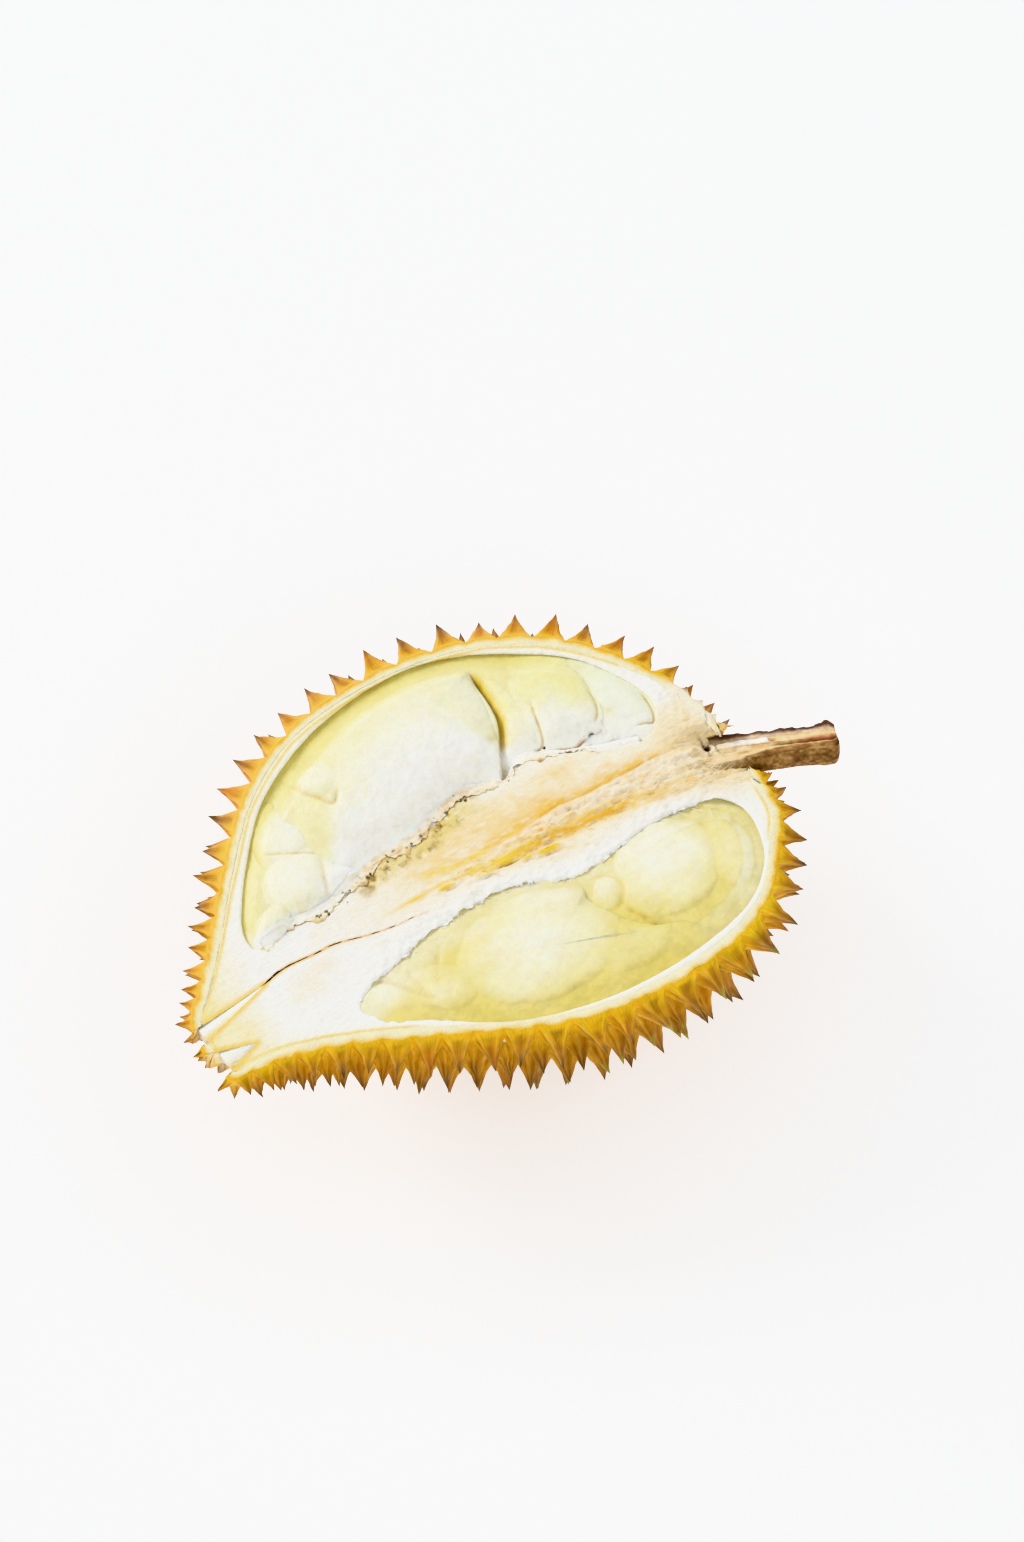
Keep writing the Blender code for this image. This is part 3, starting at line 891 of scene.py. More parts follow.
    def paint(self, points: Array, foot: Array, rise: Array, tone: Array, fluted: Array) -> tuple:
        """Colours the spines and roughens their flanks.

        Args:
            points: All points in mm.
            foot: Share of the foot's width left at each point.
            rise: Share of the spine's height.
            tone: A random value for each spine.
            fluted: How deep in a flute each point lies, 0 on the ridges between them.

        Returns:
            The roughened points and their colours.
        """
        push = np.stack([rough(points, 3.2, 2, seed) for seed in (1, 2, 3)], axis=1)
        points = points + push * (0.7 * np.clip(4 * foot * (1 - foot), 0, 1))[:, None]
        x, y, z = points.T
        patch = rough(points, 18, 3, seed=5)
        spots = rough(points, 3, 3, seed=9)
        at = np.clip(rise + 0.16 * patch + 0.12 * tone + 0.12 * spots, 0, 1)
        tint = Paint(ramp(
            ((0, "#E3AE1A"), (0.1, "#E6B020"), (0.3, "#DEA224"), (0.5, "#CF9230"), (0.68, "#B98440"),
             (0.82, "#9A7044"), (0.92, "#755840"), (1, "#4E3E30")), at))
        coat = tint.coat
        low = ease(-5, -16, z)
        # Painted shade in the valleys between the spines, lower down the fruit.
        coat("#7E4F16", ease(0.16, 0, rise) * low * 0.85)
        coat("#F6C21C", ease(0.35, 0, rise) * (1 - low) * 0.7)
        body = ease(0.03, 0.15, rise) * ease(1, 0.9, rise)
        # Painted shade in the hollow flutes of each spine's flanks, and painted highlight along the ridges
        # between them.
        coat("#8A5418", ease(0.45, 1, fluted) * body * (0.45 + 0.5 * spots))
        coat("#EBC264", ease(0.35, 0, fluted) * body * (0.45 + 0.4 * spots))
        coat("#F3CB22", ease(0.1, 0.6, patch) * ease(0.5, 0.1, rise) * 0.6)
        coat("#C8741C", ease(0.05, 0.6, -patch) * ease(0.1, 0.5, rise) * 0.5)
        coat("#6F5320", ease(0.25, 0.7, rough(points, 7, 3, seed=13)) * ease(0.1, 0.5, rise) * 0.55)
        crumb = ease(0.74, 0.9, rise + 0.15 * spots) * (np.mod(tone * 7.3, 1) > 0.45)
        crumb = crumb * ease(-45, -56, y) * ease(-45, -15, x) * ease(75, 55, x)
        coat("#CFC25E", crumb * 0.85)
        bare = ease(-11, -5, z) * ease(85, 90, x) * ease(-1, 5, y)
        bare *= ease(27, 21, y + 2 * spots)
        coat("#F6ECD0", bare * (0.95 + 0.3 * spots))
        coat("#D9BC7A", bare * ease(0.1, 0.6, -spots) * 0.6)
        # Darker lower down the fruit: mostly painted shade on the underside, partly the skin's own browner
        # tone.
        under = ease(-12, -60, z)
        coat("#9A6B1A", under * 0.25)
        return points, tint.colours

    def add_cut_edge(self, shape: Shape) -> None:
        """Adds the band of cut skin round the rim, and the short wall inside it.

        Args:
            shape: The drawing of the spines, which grows.
        """
        sides = [(a, b) for face in shape.faces for a, b in zip(face, face[1:] + face[:1])]
        known = set(sides)
        rim = [(b, a) for a, b in sides if (b, a) not in known]
        numbers = sorted({k for edge in rim for k in edge})
        outer = shape.points[numbers]
        middle, _, _ = self.husk.sections(self.husk.u_of(outer[:, 0]))
        turn = np.where(outer[:, 1] > middle, 0.0, math.pi)
        inner = self.husk.skin(self.husk.u_of(outer[:, 0]), turn, self.husk.rind)
        layers, tints = [], []
        for depth in self.rim_rings:
            layer = outer + (inner - outer) * min(depth / self.husk.rind, 1.0)
            flat = layer[:, :2].copy()
            layer[:, 2] = 0.22 * rough(flat, 3, 3, seed=21) if depth <= self.husk.rind else self.rim_wall
            at = depth + 0.42 * grain(flat, 5, seed=3) + 0.6 * rough(flat, 2, 2, seed=4)
            tint = ramp(
                ((0, "#E2A51C"), (0.45, "#EDBB34"), (1, "#F4DA86"), (1.8, "#F8EDC2"), (3, "#F8F0CE")), at)
            torn_end = ease(84, 90, layer[:, 0]) * ease(2, 8, layer[:, 1]) * ease(33, 26, layer[:, 1])
            tints.append(blend(tint, "#F8F0DA", torn_end * 0.9))
            layers.append(layer)
        index = {number: k for k, number in enumerate(numbers)}
        start, size = len(shape.points), len(numbers)
        band = []
        for a, b in rim:
            firsts = range(start, start + size * len(layers), size)
            rows = [(a, b)] + [(first + index[a], first + index[b]) for first in firsts]
            band += [(p, q, s, r) for (p, q), (r, s) in zip(rows, rows[1:])]
        shape.points[numbers, 2] = -0.15
        shape.faces += band
        shape.points = np.concatenate([shape.points, *layers])
        shape.tint = np.concatenate([shape.tint, *tints])
        shape.grain += shape.points[np.array(band).ravel()].tolist()

    def build(self, finish: Material) -> Object:
        """Makes the rind and cuts the splits and the stem's opening into it.

        Args:
            finish: Its material.

        Returns:
            The rind.
        """
        rind = self.draw().make("spiny_rind", finish)
        mesh = bmesh.new()
        mesh.from_mesh(rind.data)
        for split in BREAKS:
            self.split_open(mesh, split)
        self.open_for_stem(mesh)
        mesh.to_mesh(rind.data)
        mesh.free()
        rind.data.shade_smooth()
        return rind

    def split_open(self, mesh: BMesh, split: Break) -> None:
        """Cuts one wedge out of the rind and closes its sides.

        Args:
            mesh: The rind in metres, in the row frame.
            split: The wedge.
        """
        tip = (np.array(split.tip) + PLACE[:2]) * MM
        normals = []
        for y, up in ((split.low, -1), (split.high, 1)):
            far = (split.edge(y) + PLACE[:2]) * MM
            run = (far - tip) / np.linalg.norm(far - tip)
            across = np.array([-run[1], run[0]])
            normals.append(across * up * np.sign(across[1]))
        for normal in normals:
            near = [f for f in mesh.faces if min(v.co.x for v in f.verts) < tip[0] + MM]
            parts = dict.fromkeys([item for f in near for item in (*f.edges, *f.verts, f)])
            bmesh.ops.bisect_plane(
                mesh, geom=list(parts), plane_co=(*tip, 0), plane_no=(*normal, 0), dist=1e-7)
        gone = []
        for face in mesh.faces:
            centre = np.array(face.calc_center_median()[:2]) - tip
            if centre[0] < 0 and all(centre @ normal < 0 for normal in normals):
                gone.append(face)
        bmesh.ops.delete(mesh, geom=gone, context="FACES")
        tint = mesh.verts.layers.float_color["tint"]
        reach, lean, drop = self.break_wall
        for normal in normals:
            edges = []
            for edge in (edge for edge in mesh.edges if edge.is_boundary):
                ends = [np.array(v.co[:2]) - tip for v in edge.verts]
                if all(abs(end @ normal) < 2e-6 and end[0] < 1e-5 for end in ends):
                    edges.append(edge)
            made = bmesh.ops.extrude_edge_only(mesh, edges=edges)["geom"]
            along = np.array([normal[1], -normal[0]])
            shift = (along * np.sign(along[0]) * reach + normal * lean) * MM
            for vert in (item for item in made if isinstance(item, BMVert)):
                vert.co.xy += Vector(shift)
                vert.co.z = max(vert.co.z, (PLACE[2] - drop) * MM)
                vert[tint] = (*linear("#F6E7B0"), 1)

    def open_for_stem(self, mesh: BMesh) -> None:
        """Clears the rind where the stem passes through it.

        Args:
            mesh: The rind in metres, in the row frame.
        """
        start, end = (np.array(STEM_AXIS[k][:3]) for k in (0, 2))
        run = (end - start) / np.linalg.norm(end - start)
        gone = []
        for face in mesh.faces:
            gap = np.array(face.calc_center_median()) / MM - PLACE - start
            if gap[0] < -4:
                continue
            away = gap - run * (gap @ run)
            reach = self.stem_gap[0 if away[2] > 2 and away[1] < 0 else 1]
            if np.linalg.norm(away) < reach and -8 < gap @ run < 40:
                gone.append(face)
        bmesh.ops.delete(mesh, geom=gone, context="FACES")


STEM_AXIS = (
    (82, -0.5, -8.0, 10.2),
    (90, -3.7, -7.6, 9.8),
    (101, -9.2, -7.0, 9.0),
    (112, -14.8, -6.5, 8.4),
    (124, -21.3, -6.0, 8.4),
    (130, -24.4, -5.8, 9.2),
    (134.3, -26.4, -5.8, 8.8),
)


# ---- the cut face


def smooth_line(points: tuple, step: float = 0.7) -> Array:
    """Draws a smooth open curve through given points.

    Args:
        points: The points in mm.
        step: Distance between samples in mm.

    Returns:
        The samples.
    """
    p = np.array(points, float)
    p = np.concatenate([2 * p[:1] - p[1:2], p, 2 * p[-1:] - p[-2:-1]])
    s = np.linspace(0, 1, 12, endpoint=False)[:, None]
    pieces = [spline(*four, s) for four in zip(p, p[1:], p[2:], p[3:])]
    return evenly(np.concatenate([*pieces, p[-2:-1]]), step)


def soft_min(a: Array, b: Array, blend_mm: float) -> Array:
    """The lower of two heights in mm, with a change from one to the other that is rounded over blend_mm."""
    share = np.clip(0.5 + 0.5 * (b - a) / blend_mm, 0, 1)
    return b + (a - b) * share - blend_mm * share * (1 - share)


STEM_LINE = np.array(STEM_AXIS)[:, :2]
# The chambers' rims: the far or near side of each, and the side that faces the core.
TORN_POINTS = (
    (-98, 25), (-84, 26), (-69, 24), (-51, 28), (-40, 29.5), (-28, 28.7), (-16, 31), (-4, 34),
    (8, 32.5), (18, 31.5), (30, 33), (42, 27.5), (58, 19.5), (70, 15))
FAR_POINTS = (
    (79.5, 18.5), (83, 32), (71, 57.5), (53, 73.5), (33, 86), (11, 93), (-15, 93.5), (-40, 88.5),
    (-65, 76.5), (-84, 58), (-98, 40), (-101.5, 30))
LIP_POINTS = (
    (-82, -17), (-60, -9), (-34, -5.6), (-11, -7.5), (2, -12.5), (13, -18), (25, -19), (36, -17.5),
    (50, -17), (64, -18), (76, -21.5))
NEAR_POINTS = (
    (-60, -37.5), (-37, -54), (-14, -63), (10, -68), (37, -69), (62, -65), (78, -54), (85, -38), (83, -27))
UPPER_CHAMBER = (*TORN_POINTS, *FAR_POINTS)
LOWER_CHAMBER = (LIP_POINTS[0], *NEAR_POINTS, *LIP_POINTS[:0:-1])
TORN_LINE = smooth_line(TORN_POINTS, 2.0)
LIP_LINE = smooth_line(LIP_POINTS, 2.0)
# How far the dry white skin reaches over the upper pods from the torn line: x and distance in mm.
DRY_REACH = (
    (-98, 6), (-80, 6), (-66, 8), (-56, 13), (-46, 25), (-20, 34), (14, 32), (22, 8), (36, 12), (50, 16),
    (62, 12), (80, 8))
# The deep split between the two largest upper pods.
SPLIT_LINE = smooth_line(
    ((32, 79), (31.6, 69), (31, 61), (29.6, 53.6), (26.1, 46.8), (21.2, 40), (18, 33), (16.5, 29.5)), 1.5)
# The core, from the blossom end to the stem, and how far its line runs before the core itself starts.
CORE_LINE = smooth_line(
    ((-145, 23), (-104, 18), (-62, 13), (-36, 10), (-16, 7), (8, 1.5), (30, -2.5), (55, -5.5), (78, -8),
     (96, -12)), 2.0)
CORE_START = 83.0
# The hole where the stalk's cavity runs into the pith, painted dark inside as shade, in mm.
STEM_HOLE = (90.3, -0.5)
# Two golden bands in the core: place along it and distance from its line, in mm.
LOW_BAND = ((18, -1.8), (44, -0.3), (60, -1.0), (83, 0.9), (100, 1.8), (116, 0.3), (134, -3.4), (160, -4.0))
HIGH_BAND = ((18, 5.6), (46, 3.6), (65, 6.5), (86, 11.5), (106, 12.2), (128, 12.9), (160, 12.0))
# Golden swellings under the low band: place along the core, distance from it, half length, half width.
LUMPS = (
    (52, -3.2, 5, 1.2), (61, -1.8, 4, 1.0), (70, -3.4, 3, 0.9), (78, -3.8, 6, 1.4), (36, -2.6, 4, 0.9))
# The crack that runs on from the larger split, and its open parts: start, end and width in mm.
CRACK = smooth_line(
    ((-107, 12), (-95.8, 13.4), (-81.8, 11.6), (-77, 11.3), (-70.8, 9.6), (-60, 6.0), (-50.6, 3.8),
     (-42, 2.6), (-34.3, 0.5)), 0.7)
CRACK_PARTS = (
    (0, 21, 0.6), (22.5, 27, 0.32), (29, 35, 0.28), (36.5, 43, 0.24), (46, 50, 0.2), (53, 56, 0.18),
    (61, 64, 0.16))


def crack_loops() -> list:
    """Draws the open parts of the crack.

    Returns:
        One thin closed loop for each part, widest in its middle, or at its start where it leaves the split.
    """
    jitter = CRACK + 0.45 * np.column_stack([rough(CRACK, 4, 3, 73), rough(CRACK, 4, 3, 74)])
    at = np.arange(len(CRACK)) * 0.7
    loops = []
    for start, end, width in CRACK_PARTS:
        part = jitter[(at >= start) & (at <= end)]
        share = np.linspace(0, 1, len(part))
        half = width / 2 * np.sqrt(1 - share if start == 0 else 4 * share * (1 - share) + 1e-4)
        half = (half + 0.06)[:, None] * (0, 1) * (1 + 0.5 * grain(part, 1.5, 75))[:, None]
        loops.append(np.concatenate([part - half, (part + half)[::-1]]))
    return loops


def rim_of(chamber: "Chamber", count: int = 240) -> Array:
    """Draws a chamber's smooth closed rim, counter-clockwise."""
    return closed_curve(UPPER_CHAMBER if chamber is Chamber.UPPER else LOWER_CHAMBER, count)


class Chamber(Enum):
    """Which chamber a pod lies in."""

    UPPER = "upper"
    LOWER = "lower"


@dataclass(frozen=True)
class Pits:
    """Small holes scattered along a torn line, painted dark inside as shade."""

    line: Array
    count: int
    spread: float
    seed: int

    def places(self) -> Array:
        """Scatters the holes.

        Returns:
            x, y and radius of each, in mm.
        """
        chance = np.random.default_rng(self.seed)
        at = chance.integers(2, len(self.line) - 2, self.count)
        shift = chance.normal(0, self.spread, (self.count, 2))
        radius = chance.uniform(0.25, 0.7, self.count) * chance.uniform(0.6, 1.1, self.count)
        return np.column_stack([self.line[at] + shift, radius])

    def depth(self, xy: Array) -> Array:
        """How far inside a hole each point lies, from 0 to 1."""
        inside = np.zeros(len(xy))
        for x, y, radius in self.places():
            inside = np.maximum(inside, ease(1.5 * radius, 0.6 * radius, gap_to(xy, (x, y))))
        return inside

    def dots(self) -> Array:
        """Points that let a surface follow the holes."""
        turn = np.arange(6) * math.pi / 3
        ring = np.column_stack([np.cos(turn), np.sin(turn)])
        rings = [place[:2] + ring * place[2] * size for place in self.places() for size in (0.55, 1.4)]
        return np.concatenate([self.places()[:, :2], *rings])


PITS = Pits(TORN_LINE[10:62], 26, 1.3, 5)
LIP_PITS = Pits(smooth_line(((-14, -10.6), (-9, -9.6), (-3, -9.8), (3, -13.4)), 0.8), 16, 0.45, 6)


@dataclass
class Pith:
    """The pale pith: rim, core and chamber walls, drawn as one surface over the cut face."""

    husk: Husk
    step: float = 0.7
    inset: float = 2.6
    stem_clear: tuple = (93, 7.5)
    wall_depths: tuple = (0.6, 1.6, 3.5, 6.5, 11.0)

    def outlines(self) -> tuple:
        """Draws the loops of the cut face.

        Returns:
            The outer rim and the rims of the two chambers.
        """
        rim = self.husk.rim(self.inset)
        collar = ease(18, 13, trace(rim, STEM_LINE)[0]) * ease(80, 86, rim[:, 0])
        loops = [grown(rim, (self.inset - 0.3) * collar)]
        for chamber, line, seed in ((Chamber.UPPER, TORN_LINE, 41), (Chamber.LOWER, LIP_LINE, 42)):
            loop = evenly(rim_of(chamber, 900), 0.5, closed=True)
            ragged = ease(8, 2, trace(loop, line)[0])
            torn = rough(loop, 7, 2, seed) + 0.6 * rough(loop, 2, 2, seed)
            loops.append(grown(loop, (0.15 + 1.5 * ragged) * torn))
        return tuple(loops)

    def fields(self, xy: Array) -> SimpleNamespace:
        """Measures points of the cut face against its features.

        Args:
            xy: Points in mm.

        Returns:
            Distances, places along the lines, and patterns that follow the core, by name.
        """
        core, along, side = trace(xy, CORE_LINE)
        along = along - CORE_START
        across = core * side + 1.3 * rough(xy, 15, 3, 57)
        torn, torn_at, torn_side = trace(xy, TORN_LINE)
        crack, crack_at, _ = trace(xy, CRACK)
        lip, lip_at, _ = trace(xy, LIP_LINE)
        upper, upper_at, _ = trace(xy, rim_of(Chamber.UPPER), closed=True)
        low = across - np.interp(along, *zip(*LOW_BAND))
        high = across - np.interp(along, *zip(*HIGH_BAND))
        return SimpleNamespace(
            skin=trace(xy, self.husk.rim(0.0, 2.5), closed=True)[0],
            core=across,
            along=along,
            low=low,
            high=high,
            ridge=ease(0.2, 2.4, low) * ease(0.4, -1.6, high) * ease(40, 70, along),
            fibres=rough(np.stack([along / 13, across / 1.5], axis=1), 1, 4, 53),
            threads=rough(np.stack([along / 6, across / 0.7], axis=1), 1, 3, 59),
            granules=rough(np.stack([along / 2.8, across / 1.4], axis=1), 1, 3, 54),
            torn=torn * torn_side,
            torn_at=torn_at,
            lip=lip,
            lip_at=lip_at,
            crack=crack,
            crack_at=crack_at,
            upper=upper,
            bands=rough(np.stack([upper / 1.5, upper_at / 16], axis=1), 1, 3, 63),
            lower=trace(xy, rim_of(Chamber.LOWER), closed=True)[0],
            stem=trace(xy, STEM_LINE)[0],
            pits=PITS.depth(xy) + LIP_PITS.depth(xy),
        )

    def lumps(self, f: SimpleNamespace) -> tuple[Array, Array]:
        """Places the golden swellings of the core.

        Args:
            f: Measures of the points.

        Returns:
            How far on a swelling, and how far in the slit under one, each point lies.
        """
        swollen, slit = np.zeros(len(f.core)), np.zeros(len(f.core))
        for at, off, length, width in LUMPS:
            away = (f.along - at) / length
            swollen = np.maximum(swollen, np.exp(-(away**2) - ((f.core - off) / width) ** 2))
            slit = np.maximum(slit, np.exp(-(away**2) - ((f.core - off + 1.3 * width) / 0.5) ** 2))
        return swollen, slit

    def crust(self, f: SimpleNamespace) -> Array:
        """How much of the dry brown crust below the torn skin each point has."""
        return ease(11, 4, np.abs(f.torn)) * ease(36, 50, f.torn_at) * ease(112, 92, f.torn_at)

    def height(self, xy: Array, f: SimpleNamespace) -> Array:
        """Shapes the surface.

        Args:
            xy: Points in mm.
            f: Their measures.

        Returns:
            Heights in mm.
        """
        x, y = xy.T
        fibres, threads, granules, ridge = f.fibres, f.threads, f.granules, f.ridge
        inner = ease(14, 40, f.along)
        z = 0.3 * rough(xy, 22, 2, 51) + 0.07 * rough(xy, 2.5, 3, 52)
        z += ridge * (0.9 + 1.2 * fibres + 1.4 * granules)
        z += bell(f.low, 3) * inner * (0.3 + 0.8 * fibres + 0.35 * threads)
        z -= bell(f.low + 2, 0.8) * inner * (0.6 + 1.1 * granules)
        z -= bell(f.high, 0.8) * ease(60, 90, f.along) * (0.8 + 1 * fibres)
        z += ease(0, 2, f.high) * ease(12, 3, f.high) * inner * 0.35 * threads
        swollen, slit = self.lumps(f)
        z += 1.1 * swollen - 0.7 * slit
        cotton = ease(13, 3, f.lip) * ease(0, 12, f.lip_at)
        z += cotton * (0.5 + 1.6 * rough(xy, 4.5, 4, 55) + 0.5 * granules)
        z += self.crust(f) * (1.3 * rough(xy, 3.2, 4, 56) - 0.7)
        z -= 1.6 * np.minimum(f.pits, 1)
        for gap, radius in ((f.upper, 1.2), (f.lower, 0.8 + 0.9 * cotton)):
            share = np.clip(1 - gap / radius, 0, 1)
            z -= radius * (1 - np.sqrt(1 - share**2)) * 0.8
        z -= 5.2 * ease(76, 93, x) * ease(12.5, 6.5, f.stem)
        near_stem = ease(26, 10, f.stem) * ease(66, 86, x)
        z += near_stem * (0.9 * threads + 0.8 * rough(xy, 6, 4, 58))
        z -= 4.5 * bell(gap_to(xy, STEM_HOLE), 1.8)
        torn_end = ease(66, 84, x) * ease(6, 16, y) * ease(16, 4, f.skin)
        z += torn_end * (0.5 * f.bands + 0.9 * rough(xy, 4, 3, 60))
        z += ease(3, 4.5, f.skin) * ease(16, 8, f.skin) * 0.28 * rough(xy, 2, 3, 62)
        quiet = ease(2.9, 4.4, f.skin)
        z = np.where(f.stem < 12.5, z, z * np.maximum(quiet, 0.7 * torn_end))
        return z - 0.16 * ease(3.15, 2.9, f.skin)

    def tint(self, xy: Array, z: Array, f: SimpleNamespace) -> Array:
        """Paints the surface.

        Args:
            xy: Points in mm.
            z: Their heights in mm.
            f: Their measures.

        Returns:
            Linear colours.
        """
        x, y = xy.T
        fibres, threads, granules, ridge = f.fibres, f.threads, f.granules, f.ridge
        patches = rough(xy, 12, 3, 67)
        specks = rough(xy, 2.2, 3, 65)
        near_stem = ease(28, 8, f.stem) * ease(62, 86, x)
        torn_end = ease(80, 90, x) * ease(2, 10, y)
        depth = f.skin + 0.5 * rough(xy, 7, 3, 61) + 6 * torn_end
        tint = Paint(ramp(
            ((2.6, "#F8F0CE"), (3.7, "#F8F1D2"), (4.2, "#EFCF6C"), (4.6, "#F3DE94"), (5.4, "#FAF7EA"),
             (9, "#FBF9F2"), (15, "#FAF8F2")), depth))
        coat = tint.coat
        coat("#FDFCF6", ease(3.4, 1.6, f.lower) * ease(3.2, 4.2, f.skin))
        coat("#F4E298", ease(-104, -128, x) * (0.75 + 0.5 * patches + 0.3 * threads))
        beyond = ease(48, 62, x) * ease(0, 12, y)
        coat("#F5E3C4", beyond * ease(0, 0.5, f.bands) * ease(3, 7, f.upper) * 0.8)
        coat("#F2D58C", beyond * ease(0.25, 0.6, -f.bands) * ease(5, 9, f.upper) * 0.6)
        coat("#F3E2B0", ease(0.2, 0.7, threads) * ease(20, 4, np.abs(f.core)) * 0.35)
        coat("#F5EBD4", ease(0, 6, f.crack) * ease(22, 10, f.crack) * ease(-0.3, 0.4, patches) * 0.7)
        coat("#F9EED8", ease(-12, -4, f.core) * ease(15, 9, f.core) * ease(-30, 5, f.along) * 0.5)
        inner = ease(6, 40, f.along)
        zone = ease(-15, -8, f.core) * ease(26, 12, f.high) * inner
        coat("#FBF1D8", zone * 0.9)
        coat("#F7DC9A", zone * ease(-6, 0, f.high) * ease(-0.3, 0.5, patches) * 0.8)
        glow = ease(-1.5, 0.6, f.high) * bell(np.maximum(f.high, 0), 6.5) * inner
        coat("#F5CB6C", glow * (0.75 + 0.6 * patches) * ease(20, 70, f.along))
        line = bell(f.high - 1, 1.8) * ease(20, 90, f.along)
        coat("#F5CC5C", line * (0.75 + 0.5 * fibres))
        early = bell(f.high - 0.3, 1.5) * ease(26, 36, f.along) * ease(80, 56, f.along)
        coat("#F8D832", early * ease(-0.4, 0.2, threads + 0.4 * fibres) * 0.95)
        coat("#F6E7CC", ridge * 0.9)
        coat("#F5D383", ridge * ease(0, 0.5, fibres + 0.4 * threads) * 0.75)
        # Painted shade in the hollows between the ridge's granules, and painted highlight on their tops.
        coat("#E6BC76", ridge * ease(0, 0.5, -granules) * ease(135, 95, f.along) * 0.6)
        coat("#FCF8EC", ridge * ease(0.15, 0.5, granules) * 0.6)
        reach = np.interp(f.along, (10, 44, 62, 110, 160), (0.7, 1.1, 3.0, 3.4, 4.0))
        gold = bell(f.low, reach) * ease(6, 26, f.along)
        left = ease(95, 50, f.along)
        coat("#F8D566", gold * (0.9 + 0.6 * threads))
        coat("#F9DC3C", gold * left * ease(-0.2, 0.4, threads) * 0.9)
        vein = bell(f.low + 0.3, 0.45 * reach) * ease(8, 28, f.along)
        coat("#F0B62C", vein * ease(-0.45, 0.25, fibres) * (0.95 - 0.6 * left))
        coat("#F1CB20", vein * ease(-0.45, 0.25, fibres) * 0.8 * left)
        swollen, slit = self.lumps(f)
        coat("#F5D22A", ease(0.25, 0.7, swollen) * 0.95)
        # Painted shade in the slit under each golden swelling.
        coat("#BE8626", slit * ease(-0.3, 0.2, granules) * 0.6)
        coat("#C99A4E", bell(f.high, 0.5) * ease(70, 95, f.along) * ease(-0.1, 0.4, -fibres))
        fine = rough(np.stack([f.along / 3.4, f.core / 1.3], axis=1), 1, 2, 70)
        coat("#FFFAEC", zone * ease(0.05, 0.7, fine) * 0.5)
        coat("#F2C766", zone * ease(0.1, 0.7, -fine) * 0.45)
        crust = self.crust(f)
        coat("#DECB86", crust * (0.85 + 0.4 * patches))
        # Painted shade in the low places of the crust's rough relief.
        coat("#8F7430", crust * ease(-0.05, 0.4, -rough(xy, 3.2, 4, 56)) * 0.95)
        coat("#7E5C22", crust * ease(0.4, 0.65, rough(xy, 1.6, 2, 69)) * 0.85)
        coat("#FBF7E8", crust * ease(0.2, 0.6, specks) * 0.8)
        coat("#C8A654", ease(1.6, 0.2, np.abs(f.torn)) * ease(150, 120, f.torn_at) * 0.7)
        cotton = ease(13, 2, f.lip) * ease(0, 8, f.lip_at)
        coat("#F7F6F1", cotton * 0.8)
        # Painted shade: a grey cast in the low places of the cottony lip.
        coat("#E3E4DC", cotton * ease(0, -0.8, rough(xy, 4.5, 4, 55)) * 0.8)
        coat("#E9BC4C", ease(1.3, 0.2, f.crack) * ease(66, 8, f.crack_at) * 0.8)
        coat("#C58A3A", ease(0.5, 0.1, f.crack) * ease(78, 60, f.crack_at) * 0.7)
        shore = ease(10, 2, np.abs(f.torn) + 2 * patches) * ease(112, 124, f.torn_at) * ease(82, 70, x)
        coat("#FCF5E2", shore * 0.65)
        # Painted shade inside the small holes along the torn line and the lip.
        coat("#8A642E", np.minimum(f.pits, 1) * 0.85)
        coat("#F6E6C2", near_stem * 0.85)
        coat("#F4D27C", near_stem * ease(0.05, 0.55, threads) * 0.7)
        coat("#FCF8EE", near_stem * ease(0, 0.5, rough(xy, 5, 4, 66)) * 0.85)
        coat("#E6BE72", near_stem * ease(0.4, 0.8, -threads) * 0.4)
        hole = gap_to(xy, STEM_HOLE)
        turn = np.arctan2(y - STEM_HOLE[1], x - STEM_HOLE[0])
        rays = rough(np.stack([2.5 * np.cos(turn), 2.5 * np.sin(turn), hole / 9], axis=1), 1, 3, 68)
        coat("#A06A40", ease(8, 1.5, hole) * ease(-0.1, 0.35, rays) * 0.9)
        # Painted shade: the near-black inside of the hole.
        coat("#45271A", ease(2.3, 1.2, hole))
        for split in BREAKS:
            gap, _, _ = trace(xy, split.loop(), closed=True)
            coat("#EFCB50", ease(2.4, 0.3, gap + 0.6 * patches + 0.3 * specks) * 0.8)
        # Painted shade: a darker ochre wherever the surface sinks below its broad swell.
        hollow = ease(-0.2, -1.6, z - 0.3 * rough(xy, 22, 2, 51)) * ease(10, 13, f.stem)
        coat("#C9A25C", hollow * 0.28)
        return tint.colours

    def draw(self) -> Shape:
        """Draws the pith's face and the walls that go down from its edges.

        Returns:
            The finished drawing.
        """
        outer, upper, lower = self.outlines()
        wedges = [split.loop() for split in BREAKS]
        grid = hex_grid(outer.min(axis=0), outer.max(axis=0), self.step, 71)
        grid = grid[within(grid, outer)]
        grid = np.concatenate([grid, PITS.dots(), LIP_PITS.dots()])
        cracks = crack_loops()

        def keep(centres: Array) -> Array:
            """Tells which triangles belong to the pith."""
            good = within(centres, outer) & ~within(centres, upper) & ~within(centres, lower)
            for hole in (*wedges, *cracks):
                good &= ~within(centres, hole)
            past, clear = self.stem_clear
            return good & ~((centres[:, 0] > past) & (trace(centres, STEM_LINE)[0] < clear))

